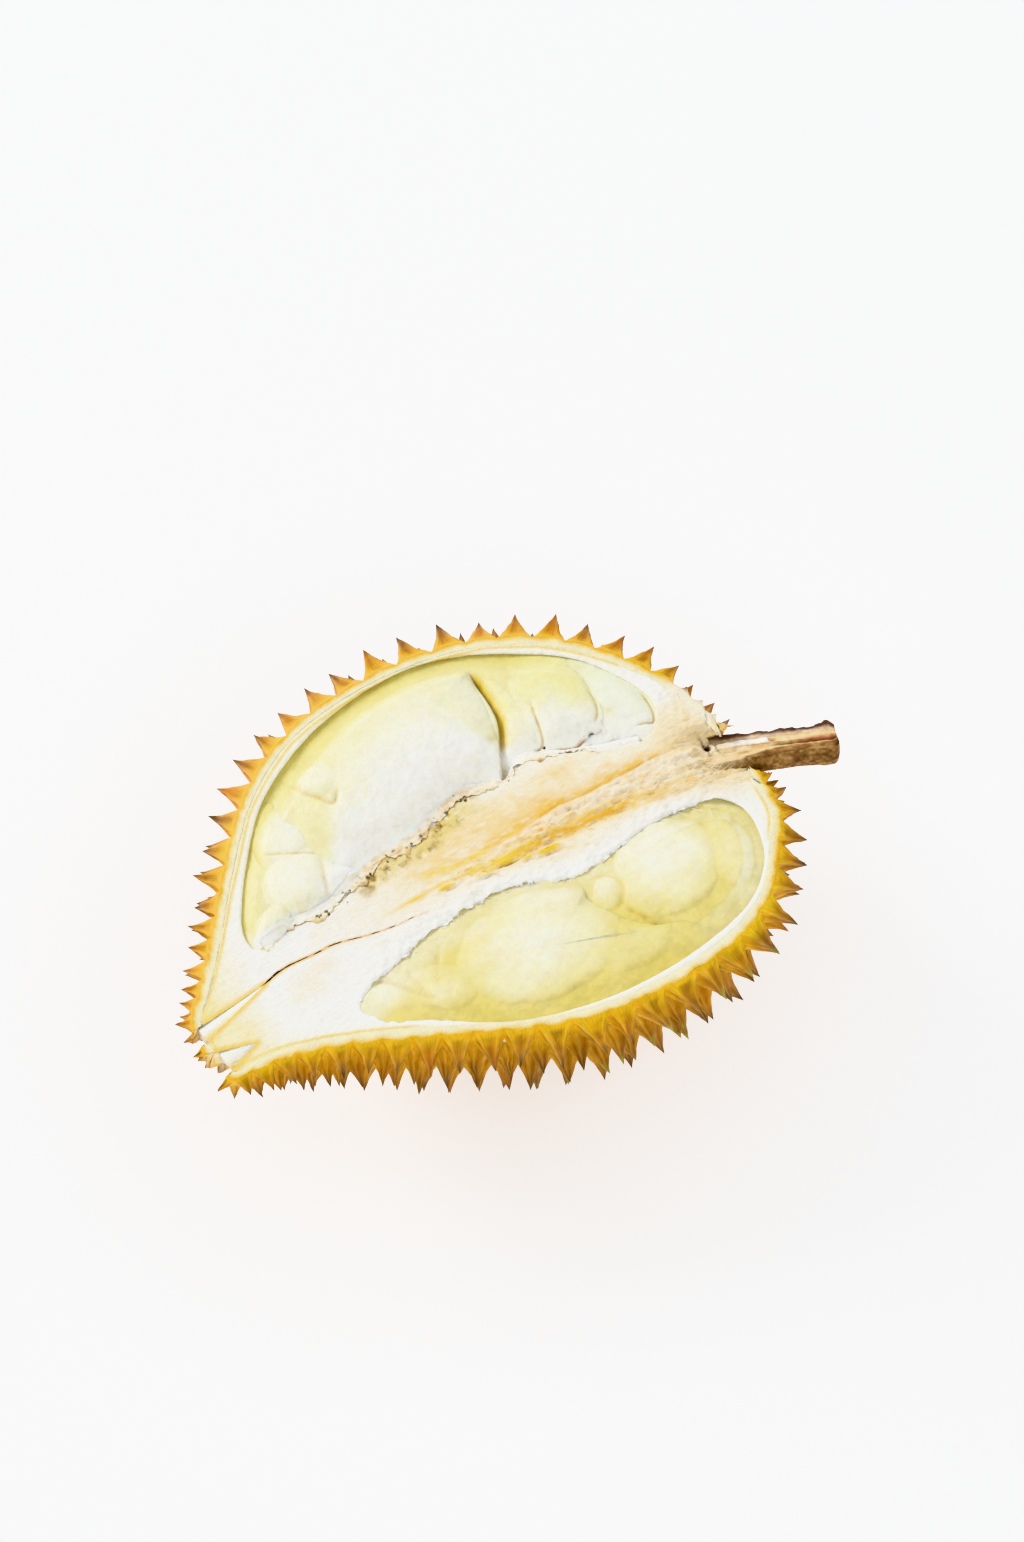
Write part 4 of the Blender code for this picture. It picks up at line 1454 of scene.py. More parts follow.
        xy, faces = filled([outer, upper, lower, *wedges, *cracks], keep, grid)
        f = self.fields(xy)
        z = self.height(xy, f)
        tint = self.tint(xy, z, f)
        points = np.column_stack([xy, z])
        edges = border_edges(faces)
        on_rim = f.skin < self.inset + 0.1
        edges = edges[~(on_rim[edges[:, 0]] & on_rim[edges[:, 1]])]
        faces = [tuple(face) for face in faces]
        numbers = np.unique(edges)
        where = {number: k for k, number in enumerate(numbers.tolist())}
        base = points[numbers]
        in_break, flank, slope = (np.zeros(len(numbers), kind) for kind in (bool, bool, float))
        for split in BREAKS:
            here = trace(base[:, :2], split.loop(), closed=True)[0] < 0.6
            back = (split.tip[0] - base[:, 0]) / (split.tip[0] - split.mouth_x)
            low, high = (split.tip[1] + (y - split.tip[1]) * back for y in (split.low, split.high))
            near = here & (np.abs(base[:, 1] - low) <= np.abs(base[:, 1] - high) + 0.05)
            slope = np.where(near, (high - low) * ease(1.12, 0.94, back), slope)
            flank |= near
            in_break |= here
        floor = self.husk.floor_under(base[:, :2], 1.5)
        out = self.outward(xy, edges, numbers)
        layers, tints = [points], [tint]
        for k, depth in enumerate(self.wall_depths, start=1):
            share = k / len(self.wall_depths)
            # The near flank of a split leans across it just under the cut face; other walls go down.
            lean = slope * min(1.0, 0.5 * k)
            layer = base - np.column_stack([out * np.where(in_break, 0, 0.5 * depth**0.8)[:, None], 0 * lean])
            layer[:, 1] += lean
            layer[:, 2] = np.where(in_break, base[:, 2] + (floor - base[:, 2]) * share, base[:, 2] - depth)
            layer[:, 2] = np.where(flank & (k < 3), base[:, 2] - 0.08 * lean, layer[:, 2])
            layers.append(layer)
            gold = Paint(np.tile(linear("#FBF0C0"), (len(layer), 1)))
            gold.coat("#EFD27C", 0.5 * share + 0.3 * rough(layer, 4, 3, 81))
            gold.coat("#FFFEF8", flank * 0.95)
            wall = blend(tint[numbers], "#EEE6C6", np.full(len(layer), 0.5 * share))
            tints.append(np.where(in_break[:, None], gold.colours, wall))
        firsts = range(len(points), len(points) + len(numbers) * len(self.wall_depths), len(numbers))
        for a, b in edges.tolist():
            rows = [(a, b)] + [(first + where[a], first + where[b]) for first in firsts]
            faces += [(q, p, r, s) for (p, q), (r, s) in zip(rows, rows[1:])]
        return Shape(np.concatenate(layers), faces, np.concatenate(tints))

    def outward(self, xy: Array, edges: Array, numbers: Array) -> Array:
        """Finds the direction out of the surface at its border points.

        Args:
            xy: All points.
            edges: The border's edges.
            numbers: The border's point numbers.

        Returns:
            One unit vector for each border point.
        """
        run = xy[edges[:, 1]] - xy[edges[:, 0]]
        side = np.stack([run[:, 1], -run[:, 0]], axis=1)
        total = np.zeros((len(xy), 2))
        np.add.at(total, edges[:, 0], side)
        np.add.at(total, edges[:, 1], side)
        out = total[numbers]
        return out / (np.linalg.norm(out, axis=1)[:, None] + 1e-9)

    def build(self, finish: Material) -> Object:
        """Makes the pith."""
        return self.draw().make("pale_pith", finish)


@dataclass(frozen=True)
class Fold:
    """A crease in a pod's skin: a line, how deep and wide it is, and its colour."""

    points: tuple
    depth: float
    width: float
    colour: str = "#D9B96A"
    strength: float = 0.45

    def near(self, xy: Array, width: float) -> Array:
        """How near the crease each point lies, 1 on it, fading over a width in mm and at its ends."""
        away, at, _ = trace(xy, smooth_line(self.points, 1.5))
        return ease(0, 5, at) * ease(at.max(), at.max() - 5, at) * bell(away, width)

    def press(self, xy: Array) -> Array:
        """How deep the crease presses at each point, in mm."""
        return self.depth * self.near(xy, self.width)

    def mark(self, xy: Array) -> Array:
        """How much of the crease's colour shows at each point."""
        return self.strength * self.near(xy, 0.55 * self.width)


@dataclass
class Pod:
    """One pod of ripe flesh: a plump body with folds, under a skin that whitens towards the core."""

    name: str
    node: str
    chamber: Chamber
    outline: tuple
    top: float
    waist: float
    bottom: float
    folds: tuple = ()
    lobes: tuple = ()
    nicks: tuple = ()
    # Colour of the painted highlight on the lobes' tops.
    lobe_highlight: str = "#FBF9EA"
    bank: tuple = (-2.0, 3.0, 18.0, 8.0)
    sides: int = 340
    rings: int = 62
    swell: float = 1.2
    roundness: float = 0.62
    plumpness: float = 3.226

    def middle(self) -> Array:
        """The pod's middle in the cut plane."""
        return closed_curve(self.outline, 60).mean(axis=0)

    def rim(self) -> Array:
        """The pod's waist seen from above, pressed against the chamber's wall."""
        outline = closed_curve(self.outline, self.sides)
        near_wall = ease(9, 4, trace(outline, rim_of(self.chamber), closed=True)[0])
        return grown(outline, self.swell + 4.6 * near_wall)

    def share(self, xy: Array) -> Array:
        """How far out points lie, 0 at the middle and 1 at the waist.

        Args:
            xy: Points in mm.

        Returns:
            One number for each point.
        """
        (rim_x, rim_y), (x, y) = (self.rim() - self.middle()).T, (xy - self.middle()).T
        turn = np.arctan2(rim_y, rim_x)
        order = np.argsort(turn)
        around = np.hypot(rim_x, rim_y)[order]
        return np.hypot(x, y) / np.interp(np.arctan2(y, x), turn[order], around, period=2 * math.pi)

    def edge(self, xy: Array) -> Array:
        """How far inside the chamber's rim each point lies, in mm, and less than 0 outside it."""
        rim = rim_of(self.chamber)
        return trace(xy, rim, closed=True)[0] * np.where(within(xy, rim), 1, -1)

    def height(self, xy: Array, share: Array) -> Array:
        """Shapes the pod's upper side.

        Args:
            xy: Points in mm.
            share: How far out each point lies.

        Returns:
            Heights in mm.
        """
        dome = self.waist + (self.top - self.waist) * np.sqrt(np.clip(1 - share**self.plumpness, 0, 1))
        edge = self.edge(xy)
        start, near, far, rise = self.bank
        dome = soft_min(dome, start + 0.12 * np.maximum(edge, -4) + rise * ease(near, far, edge), 1.5)
        if self.chamber is Chamber.UPPER:
            gap = trace(xy, TORN_LINE)[0]
            dome = soft_min(dome, np.interp(xy[:, 0], (-80, -55), (-0.2, -1.8)) + 0.42 * gap, 2)
            dome = soft_min(dome, 0.6 + 0.2 * gap, 2)
            split, at, side = trace(xy, SPLIT_LINE)
            width = np.where(side > 0, 2.7, 0.8)
            dome -= 4.6 * np.exp(-((split / width) ** 1.6)) * ease(0, 10, at)
        else:
            gap = trace(xy, LIP_LINE)[0]
            dome = soft_min(dome, 0.35 + 0.2 * gap, 1.5)
            dome += 0.35 * ease(-52, -72, xy[:, 0]) * ease(7, 1.5, edge)
        quiet = 1 - np.clip(share, 0, 1) ** 6
        crinkle = self.papery(xy) * (0.45 * rough(xy, 4.5, 3, 105) + 0.2 * rough(xy, 1.6, 2, 106))
        for x, y, radius in self.nicks:
            dome -= 1.8 * bell(gap_to(xy, (x, y)), radius)
        return dome + quiet * self.relief(xy) + crinkle - sum(fold.press(xy) for fold in self.folds)

    def relief(self, xy: Array) -> Array:
        """Adds up the lobes and the soft unevenness of the flesh.

        Args:
            xy: Points in mm.

        Returns:
            Heights in mm over the pod's plain form.
        """
        lift = np.zeros(len(xy))
        for x, y, length, width, degrees, rise in self.lobes:
            turn = math.radians(degrees)
            gap = xy - (x, y) + 0.08 * width * np.column_stack([rough(xy, 9, 2, 95), rough(xy, 9, 2, 96)])
            along = (gap[:, 0] * math.cos(turn) + gap[:, 1] * math.sin(turn)) / length
            across = (gap[:, 1] * math.cos(turn) - gap[:, 0] * math.sin(turn)) / width
            lift = np.maximum(lift, rise * np.clip(1 - (along**2 + across**2), 0, 1) ** 0.62)
        return lift + 0.8 * rough(xy, 24, 2, 92) + 0.1 * rough(xy, 3.5, 3, 93)

    def papery(self, xy: Array) -> Array:
        """How much of the dry white skin by the torn line lies on each point."""
        if self.chamber is Chamber.LOWER:
            return np.zeros(len(xy))
        x = xy[:, 0]
        reach = np.interp(x, *zip(*DRY_REACH))
        amount = (trace(xy, TORN_LINE)[0] + 8 * rough(xy, 11, 4, 103) + 2.5 * rough(xy, 2.5, 2, 104)) / reach
        soft = ease(24, 34, x)
        return ease(1.45 + 0.9 * soft, 0.55 - 0.35 * soft, amount)

    def tint(self, points: Array) -> Array:
        """Paints the pod.

        Args:
            points: Its points in mm.

        Returns:
            Linear colours.
        """
        xy = points[:, :2]
        x, y = xy.T
        mood = rough(xy, 15, 3, 101)
        smear = rough(np.column_stack([x / 7, y / 2.5]), 1, 3, 102)
        edge = self.edge(xy)
        lift = self.relief(xy)
        top = max([lobe[5] for lobe in self.lobes], default=2.0)
        if self.chamber is Chamber.UPPER:
            tint = Paint(ramp(((-1, "#E9E2A8"), (0, "#F0EBC0"), (1, "#F5F1D2")), mood))
            coat = tint.coat
            coat("#F4F1DA", ease(-42, -70, x) * 0.6)
            stem_end = ease(60, 74, x)
            # Olive along the chamber's wall: partly the flesh's greener colour there, partly painted shade
            # where the flesh dips under the rim, darkest right at the wall.
            coat("#E2D98E", ease(13, 2, edge + 2 * mood) * (0.75 - 0.6 * stem_end))
            coat("#D2C56A", ease(6, 0.5, edge + mood) * (0.65 - 0.5 * stem_end))
            coat("#E8ECD8", stem_end * 0.75)
            split, split_at, side = trace(xy, SPLIT_LINE)
            coat("#EFF1DC", ease(22, 4, split + 4 * mood) * (side < 0) * ease(0, 14, edge) * 0.75)
            coat("#F3F1D0", ease(16, 7, split + 3 * smear) * (side > 0) * ease(0, 14, edge) * 0.6)
            flank = ease(0, 8, split_at) * ease(7.5, 1, split) * (side > 0)
            coat("#EBDD84", flank * 0.8)
            gold = ease(0, 6, split_at) * ease(3, 0.6, split + 0.5 * smear) * (side > 0)
            coat("#F0C838", gold * 0.95)
            # Painted shade at the bottom of the deep split between the pods.
            seam = split + 0.35 * rough(xy, 2.5, 3, 107) + 0.3 * (side > 0)
            coat("#7A5214", ease(0, 6, split_at) * ease(1, 0.3, seam) * 0.85)
            # Painted shade where the flesh dips under the torn edge.
            coat("#7A5526", ease(1.4, 0.2, trace(xy, TORN_LINE)[0]) * 0.8)
        else:
            lip = trace(xy, LIP_LINE)[0]
            tint = Paint(ramp(((-0.8, "#EADB8C"), (0, "#F2E8AA"), (0.8, "#F6F0C6")), mood))
            coat = tint.coat
            coat("#EAD46C", ease(14, 2, edge + 4 * mood) * 0.6)
            coat("#F1F0E0", ease(14, 3, lip + 5 * mood) * 0.92)
            wall = ease(25, 55, x) * ease(9.5, 7.5, edge + 1.2 * mood)
            coat("#EFEED6", wall * 0.85)
            line = bell(edge + 1.2 * mood - 8.6, 0.5) + 0.6 * bell(edge - 3.6, 0.5)
            coat("#D8CB86", line * ease(25, 55, x) * 0.5)
        height = np.clip((lift + 0.4 * smear) / top, 0, 1.2)
        dry = self.papery(xy)
        # Painted highlight on the lobes' tops, strongest where they rise highest.
        coat(self.lobe_highlight, 0.7 * height**2)
        # Painted shade, olive, in the low places between the lobes.
        low_shade = ("#DACB76", 0.5) if self.chamber is Chamber.UPPER else ("#D6C566", 0.62)
        low = (1 - np.clip(height, 0, 1)) ** 2.2 * (1 - 0.8 * dry)
        low *= 1 - 0.75 * ease(62, 74, x) * (y > 0)
        coat(low_shade[0], low_shade[1] * low * (1 - 0.45 * ease(-42, -70, x)))
        coat("#FBF9F0", dry * 0.95)
        coat("#E9E9E0", dry * ease(36, 44, x) * ease(-0.5, 0.3, smear) * 0.8)
        for fold in self.folds:
            coat(fold.colour, fold.mark(xy))
        # Painted shade inside the small nicks in the flesh.
        for *spot, radius in self.nicks:
            coat("#4E3216", ease(1.5, 0.7, gap_to(xy, spot) / radius))
        coat("#D8A838", ease(-3.5, -9, points[:, 2]) * 0.8)
        return tint.colours

    def build(self, finish: Material) -> Object:
        """Makes the pod.

        Args:
            finish: Its material.

        Returns:
            The pod.
        """
        outline, middle = self.rim(), self.middle()
        shares = 1 - (1 - np.linspace(0, 1, self.rings + 1)[1:]) ** 1.35
        top = np.concatenate([[middle], *(middle + (outline - middle) * share for share in shares)])
        z = self.height(top, np.concatenate([[0], np.repeat(shares, self.sides)]))
        layers = [np.column_stack([top, z])]
        turns = np.radians((12, 26, 42, 58, 74))
        for turn in turns:
            depth = self.waist + (self.bottom - self.waist) * math.sin(turn)
            ring = middle + (outline - middle) * math.cos(turn) ** self.roundness
            layers.append(np.column_stack([ring, np.full(self.sides, depth)]))
        points = np.concatenate([*layers, [[*middle, self.bottom]]])
        n = self.sides
        rings = self.rings + len(turns)
        last = 1 + (rings - 1) * n
        faces = []
        for k in range(n):
            m = (k + 1) % n
            faces += [(0, 1 + k, 1 + m), (last + k, len(points) - 1, last + m)]
            for low in range(1, last, n):
                faces.append((low + k, low + n + k, low + n + m, low + m))
        return Shape(points, faces, self.tint(points)).make(self.name, finish)


SALMON, STRAW = "#DCA040", "#D8B75C"
PODS = (
    Pod("flesh_upper_large", "pod_upper_large", Chamber.UPPER,
        ((-66, 44), (-57, 33), (-40, 29), (-18, 30.5), (2, 33.2), (19, 34.5), (29, 53), (32, 68),
         (30, 83), (11, 91), (-14, 91.5), (-41, 86), (-63, 73), (-70, 58)), 6.0, -2.5, -44.0,
        folds=(Fold(((-51.7, 78.2), (-51.2, 68.8), (-47.6, 63), (-43.7, 57.4), (-38.8, 63.5)),
                    1.3, 1.2, STRAW, 0.6),
               Fold(((-30, 80), (-20, 70), (-14, 58)), 0.35, 3.0, strength=0.0)),
        lobes=((-10, 62, 48, 25, 6, 3.0), (-44, 69, 10, 9, 0, 3.4))),
    Pod("flesh_upper_right", "pod_upper_right", Chamber.UPPER,
        ((20, 45), (23, 35), (37, 33), (52, 24), (62, 26), (67, 34), (68, 47), (62, 62), (50, 73), (35, 83),
         (27, 77), (22, 60)), 2.4, -3.0, -36.0,
        folds=(Fold(((43.8, 53), (41.7, 46.2), (40.1, 40.1), (37.8, 35.5), (31, 34)), 0.9, 0.9, STRAW, 0.7),
               Fold(((40.5, 31.6), (47.4, 27.3), (51.6, 27.9), (56.8, 26.3), (61.7, 28)),
                    1.5, 0.8, SALMON, 1.0),
               Fold(((58, 30), (62.4, 33.5), (65, 39), (65.5, 46)), 0.8, 0.9, STRAW, 0.6),
               Fold(((60, 27.5), (65.6, 31.5), (68.6, 37.6), (69.5, 46)), 0.7, 0.9, STRAW, 0.6)),
        lobes=((54, 50, 17, 25, -10, 1.5), (30, 58, 9, 24, 5, 1.0)),
        nicks=((55.5, 27.4, 1.1), (36.5, 32.6, 0.6), (38, 34.4, 0.5)), lobe_highlight="#EEE8A6"),
    Pod("flesh_upper_stem", "pod_upper_stem", Chamber.UPPER,
        ((51, 36), (58, 24), (70, 18), (80, 17), (84, 31), (75, 49), (62, 60), (54, 50)),
        -0.2, -3.5, -24.0,
        folds=(Fold(((82.6, 33), (81.6, 24), (79, 19.2), (75.4, 20.6), (70, 22)), 0.7, 0.8, "#C9A858", 0.7),),
        lobes=((74, 34, 7, 17, 25, 1.2),), lobe_highlight="#EEF0DC", bank=(-0.8, 0.5, 10.0, 2.4)),
    Pod("flesh_upper_tip", "pod_upper_tip", Chamber.UPPER,
        ((-98.5, 31), (-95, 25.5), (-78, 23.7), (-63, 24), (-54, 32), (-52, 47), (-56, 63), (-66, 72),
         (-84, 57), (-95, 43)), 0.6, -3.0, -26.0,
        folds=(Fold(((-78.1, 57.1), (-73.2, 53.2), (-62, 46.3), (-55.3, 40.2)), 0.7, 0.7, STRAW, 0.6),
               Fold(((-60, 45), (-63, 36), (-67, 27)), 0.5, 1.4, STRAW, 0.35)),
        lobes=((-66, 58.5, 15, 12, 35, 4.4), (-71.5, 41.5, 15.5, 12.5, 25, 4.2), (-91, 30, 10, 6, 30, 3.8),
               (-59, 36, 9, 10, 30, 2.6)), bank=(-1.5, 0.5, 10.0, 3.2)),
    Pod("flesh_lower_large", "pod_lower_large", Chamber.LOWER,
        ((-86, -18), (-58, -36.5), (-36, -51.5), (-14, -60.5), (10, -65.5), (33, -67), (44, -65.5),
         (35, -58), (24, -46), (15, -30), (10, -12), (-11, -8), (-34, -7.5), (-60, -11.5)), 1.6, -3.5, -36.0,
        folds=(Fold(((-72.3, -9.5), (-67.1, -14.3), (-61, -24), (-55.2, -32)), 0.9, 1.3, STRAW, 0.5),
               Fold(((-59.2, -12), (-59.1, -19.1), (-57.9, -27.7)), 0.6, 1.2, STRAW, 0.35),
               Fold(((-42, -10.7), (-48.8, -18.5), (-53.6, -27.6)), 0.6, 1.4, STRAW, 0.4)),
        lobes=((-12, -34, 33, 22, -12, 2.6), (-52, -27, 13, 9, -45, 1.3), (15, -52, 18, 11, -15, 0.9),
               (-68, -20, 9, 6, -45, 0.9)), bank=(-0.1, 0.0, 14.0, 2.6)),
    Pod("flesh_lower_right", "pod_lower_right", Chamber.LOWER,
        ((9, -24), (17, -45), (30, -60), (47, -65), (62, -62.5), (76, -52.5), (82.5, -38),
         (78, -25), (62, -16), (40, -13.5), (16, -12.5)), 0.6, -4.0, -34.0,
        folds=(Fold(((18, -38.5), (24, -37), (27.6, -31.3), (24.7, -24.7), (17, -21.5)),
                    0.35, 1.2, "#E2C25A", 0.45),
               Fold(((22.8, -38.5), (26.2, -44.9), (29, -53.1), (32.3, -58.6), (38.1, -62.6)),
                    0.8, 1.1, "#E0BF50", 0.6),
               Fold(((66, -18), (70.8, -20.5), (75.5, -25), (80, -30)), 0.7, 0.9, "#E6D478", 0.7)),
        lobes=((21.5, -30.5, 8.0, 5.6, 40, 1.3), (46, -35, 22, 19, 15, 2.0), (70, -42, 9, 17, -20, 1.0)),
        bank=(-0.1, 0.0, 14.0, 2.2)),
)


@dataclass
class TornSkin:
    """The papery white skin of the upper pods, torn off the core along a ragged edge."""

    pith: Pith
    reach: float = 6.5
    step: float = 0.62
    overlap: float = 0.7

    def outline(self) -> Array:
        """Draws the ragged sheet's outline.

        Returns:
            A closed loop, counter-clockwise.
        """
        line = evenly(smooth_line(TORN_POINTS, 0.4), 0.4)
        run = np.gradient(line, axis=0)
        left = np.stack([-run[:, 1], run[:, 0]], axis=1) / np.linalg.norm(run, axis=1)[:, None]
        merge = ease(50, 60, line[:, 0])
        ragged = self.overlap + 3 * rough(line, 8, 2, 131) + 2.6 * rough(line, 2.6, 3, 132) + 2.5 * merge
        taper = 3 * ease(-45, -60, line[::4, :1]) + 4 * ease(16, 40, line[::4, :1])
        inner = line[::4] + left[::4] * (self.reach - taper)
        return np.concatenate([line - left * ragged[:, None], inner[::-1]])

    def draw(self) -> Shape:
        """Draws the sheet over the pods.

        Returns:
            The drawing.
        """
        loop = self.outline()
        grid = hex_grid(loop.min(axis=0), loop.max(axis=0), self.step, 133)
        grid = np.concatenate([grid[within(grid, loop)], PITS.dots()])

        def keep(centres: Array) -> Array:
            """Tells which triangles are left after the tears."""
            split = trace(centres, SPLIT_LINE)[0]
            open_split = split < 1.0 + 0.4 * grain(centres, 2, 134)
            return within(centres, loop) & ~open_split & (PITS.depth(centres) < 0.6)

        xy, faces = filled([loop], keep, grid)
        gap, at, side = trace(xy, TORN_LINE)
        inside = gap * side
        upper = [pod for pod in PODS if pod.chamber is Chamber.UPPER]
        flesh = np.max([pod.height(xy, pod.share(xy)) for pod in upper], axis=0)
        wrinkles = 0.5 * rough(xy, 5, 3, 135) + 0.25 * rough(xy, 1.8, 3, 136)
        laid = ease(0, 0.45, inside / self.reach)
        ground = self.pith.height(xy, self.pith.fields(xy))
        merge = ease(48, 58, xy[:, 0])
        z = ground + 0.35 + wrinkles * ease(-1.5, 1.5, inside) + (flesh - 0.1 - ground) * laid
        z += ease(1, -1.5, inside) * 0.45 * rough(xy, 3, 2, 137) * (1 - merge)
        z -= merge * ease(0, -3, inside) * 0.8
        sunk = ease(0.5, 1, (inside + 2 * rough(xy, 5, 2, 138)) / self.reach)
        z += (flesh - 1.0 - z) * sunk
        z -= 1.2 * ease(4, 1, trace(xy, SPLIT_LINE)[0])
        tint = Paint(ramp(((0, "#CFA866"), (0.7, "#EAD6A4"), (1.8, "#F8F2E0"), (6, "#FAF8F0")),
                          inside + 2.4 + 1.4 * rough(xy, 3, 3, 139) + 3 * merge))
        coat = tint.coat
        stained = ease(40, 52, at) * ease(118, 98, at) * ease(7, 1, inside + 4 * rough(xy, 6, 3, 140))
        coat("#D9BC84", stained * (0.5 + 0.7 * rough(xy, 2, 3, 141)))
        edge = ease(-0.4, -1.4, inside) * ease(0, 0.4, rough(xy, 4, 2, 142))
        coat("#A9783C", edge * 0.6 * (1 - merge))
        # Painted shade round the holes torn in the sheet.
        coat("#9A7236", PITS.depth(xy) * 0.8)
        return Shape(np.column_stack([xy, z]), [tuple(face) for face in faces], tint.colours)

    def build(self, finish: Material) -> Object:
        """Makes the torn skin."""
        return self.draw().make("torn_skin", finish)


@dataclass
class Stem:
    """The split stalk: bark below, and a torn face of wood with a strip of white pith above."""

    tear_tilt: float = math.radians(31)
    tear_rise: float = 2.6
    step: float = 0.4
    bark_sides: int = 64
    tear_sides: int = 46

    def build(self, finish: Material) -> Object:
        """Makes the stem.

        Args:
            finish: Its material.

        Returns:
            The stem.
        """
        axis = smooth_line(STEM_AXIS, self.step)
        run = np.gradient(axis[:, :3], axis=0)
        run /= np.linalg.norm(run, axis=1)[:, None]
        across = np.cross(run, (0, 0, 1))
        across /= np.linalg.norm(across, axis=1)[:, None]
        up = np.cross(across, run)
        along = np.concatenate([[0], np.cumsum(np.linalg.norm(np.diff(axis[:, :3], axis=0), axis=1))])
        tilt_up = math.cos(self.tear_tilt) * up - math.sin(self.tear_tilt) * across
        tilt_across = math.cos(self.tear_tilt) * across + math.sin(self.tear_tilt) * up
        layers, tints = [], []
        for k, (x, y, z, radius) in enumerate(axis):
            s = along[k]
            radius *= math.sqrt(1 - min(max(0.0, (s - along[-1] + 2.4) / 2.9), 0.98) ** 2)
            centre = np.array([x, y, z])
            low = math.asin(min(self.tear_rise / radius, 0.95))
            turn = np.linspace(low, -math.pi - low, self.bark_sides + 1)
            a, b = np.cos(turn), np.sin(turn)
            flat = np.column_stack([np.full_like(turn, s / 4), a * 2.2, b * 2.2])
            coarse = rough(np.column_stack([np.full_like(turn, s), a * 3, b * 3]), 2, 3, 112)
            reach = radius * (1 + 0.030 * rough(flat, 1, 3, 111) + 0.018 * coarse)
            bark = centre + (a * reach)[:, None] * tilt_across[k] + (b * reach)[:, None] * tilt_up[k]
            half = radius * math.cos(low)
            v = np.linspace(-1, 1, self.tear_sides + 1)[1:-1]
            width = v * half
            here = np.full_like(v, s)
            line = np.column_stack([here / 7, v * 4.5])
            ridge = 0.6 * rough(line, 1, 3, 113) + 0.35 * rough(np.column_stack([here, width]), 2, 3, 114)
            hollow = -1.5 * bell(v - 0.18, 0.1) * np.maximum(ease(30, 38, here), 0.5 * ease(24, 16, here))
            hollow -= 3 * bell(here - 9, 2) * bell(v + 0.3, 0.16)
            strip = 0.8 * np.exp(-(((v + 0.24) / 0.23) ** 6)) * ease(10, 12, here) * ease(33, 31, here)
            lower = np.interp(s, (0, 14, 34, 60), (1.4, 1.1, 0.42, 0.36))
            slump = 4.5 * np.clip(v - lower, 0, None) ** 1.6
            jag = rough(np.column_stack([here / 4, v * 0]), 1, 3, 115)
            edge = (1.2 + 1.8 * jag) * ease(-0.74, -0.9, v)
            rise = self.tear_rise + ridge + hollow + strip + edge - slump
            torn = centre + width[:, None] * tilt_across[k] + rise[:, None] * tilt_up[k]
            layers.append(np.concatenate([bark, torn]))
            tints.append(self.tint(s, flat, v, hollow, strip, line, lower))
        points = np.concatenate(layers)
        size = len(layers[0])
        faces = []
        for k in range(len(layers) - 1):
            for m in range(size):
                n = (m + 1) % size
                faces.append((k * size + m, k * size + n, (k + 1) * size + n, (k + 1) * size + m))
        tint = np.concatenate(tints)
        last = (len(layers) - 1) * size
        points = np.concatenate([points, [layers[-1].mean(axis=0) - 0.6 * run[-1]]])
        tint = np.concatenate([tint, [linear("#9A7145")]])
        faces += [(last + m, last + (m + 1) % size, len(points) - 1) for m in range(size)]
        return Shape(points, faces, tint).make("split_stem", finish)

    def tint(self, s: float, flat: Array, v: Array, hollow: Array, strip: Array,
             line: Array, lower: float) -> Array:
        """Paints one section of the stem.

        Args:
            s: Place along the stem in mm.
            flat: Places on the bark for its patterns.
            v: Places across the torn face.
            hollow: Depth of the cavity there.
            strip: Height of the pith strip there.
            line: Places on the torn face for its patterns.
            lower: Where the bark begins on the torn face.

        Returns:
            Linear colours, bark first.
        """
        tones = ((-0.6, "#5C4026"), (0.0, "#936C42"), (0.6, "#C39E68"))
        bark = ramp(tones, 0.8 * rough(flat, 1.2, 3, 121) + 0.6 * rough(flat, 0.3, 2, 124))
        fibre = rough(line, 1, 3, 122)
        wood = Paint(ramp(((-0.6, "#C79A5E"), (0, "#E2C48C"), (0.6, "#F0DDB2")), fibre))
        coat = wood.coat
        coat("#FDFAF2", strip / 0.8)
        edges = bell(np.abs(v + 0.24) - 0.25, 0.035) * ease(8, 12, s) * ease(60, 40, s)
        coat("#8E5A34", edges * 0.7)
        coat("#F0DCA8", np.exp(-(((v + 0.22) / 0.2) ** 6)) * ease(31, 33, s) * 0.8)
        coat("#A85E34", bell(v + 0.2, 0.16) * ease(2.5, 0, abs(s - 33.5)) * 0.9)
        coat("#A9583A", ease(0.45, 0, np.abs(v - 0.05)) * ease(36, 52, s) * 0.85)
        # Painted shade in the torn face's cavities, darker the deeper they go.
        coat("#63301E", -hollow / 1.5 * 0.9)
        bark_here = ramp(tones, rough(np.column_stack([line[:, 0] * 1.7, v * 6]), 1.2, 3, 123))
        wood.colours += (bark_here - wood.colours) * ease(lower - 0.06, lower + 0.1, v)[:, None]
        coat("#CDB39C", ease(-0.52, -0.62, v) * 0.8)
        coat("#4E2C20", ease(-0.74, -0.84, v + 0.05 * fibre) * 0.92)
        base = ease(26, 8, s)
        both = np.concatenate([bark, wood.colours])
        near = np.concatenate([ease(-0.3, 0.5, flat[:, 1] / 2.2), ease(-0.66, -0.5, v)])
        return blend(both, "#EBD6AC", near * 0.75 * base)


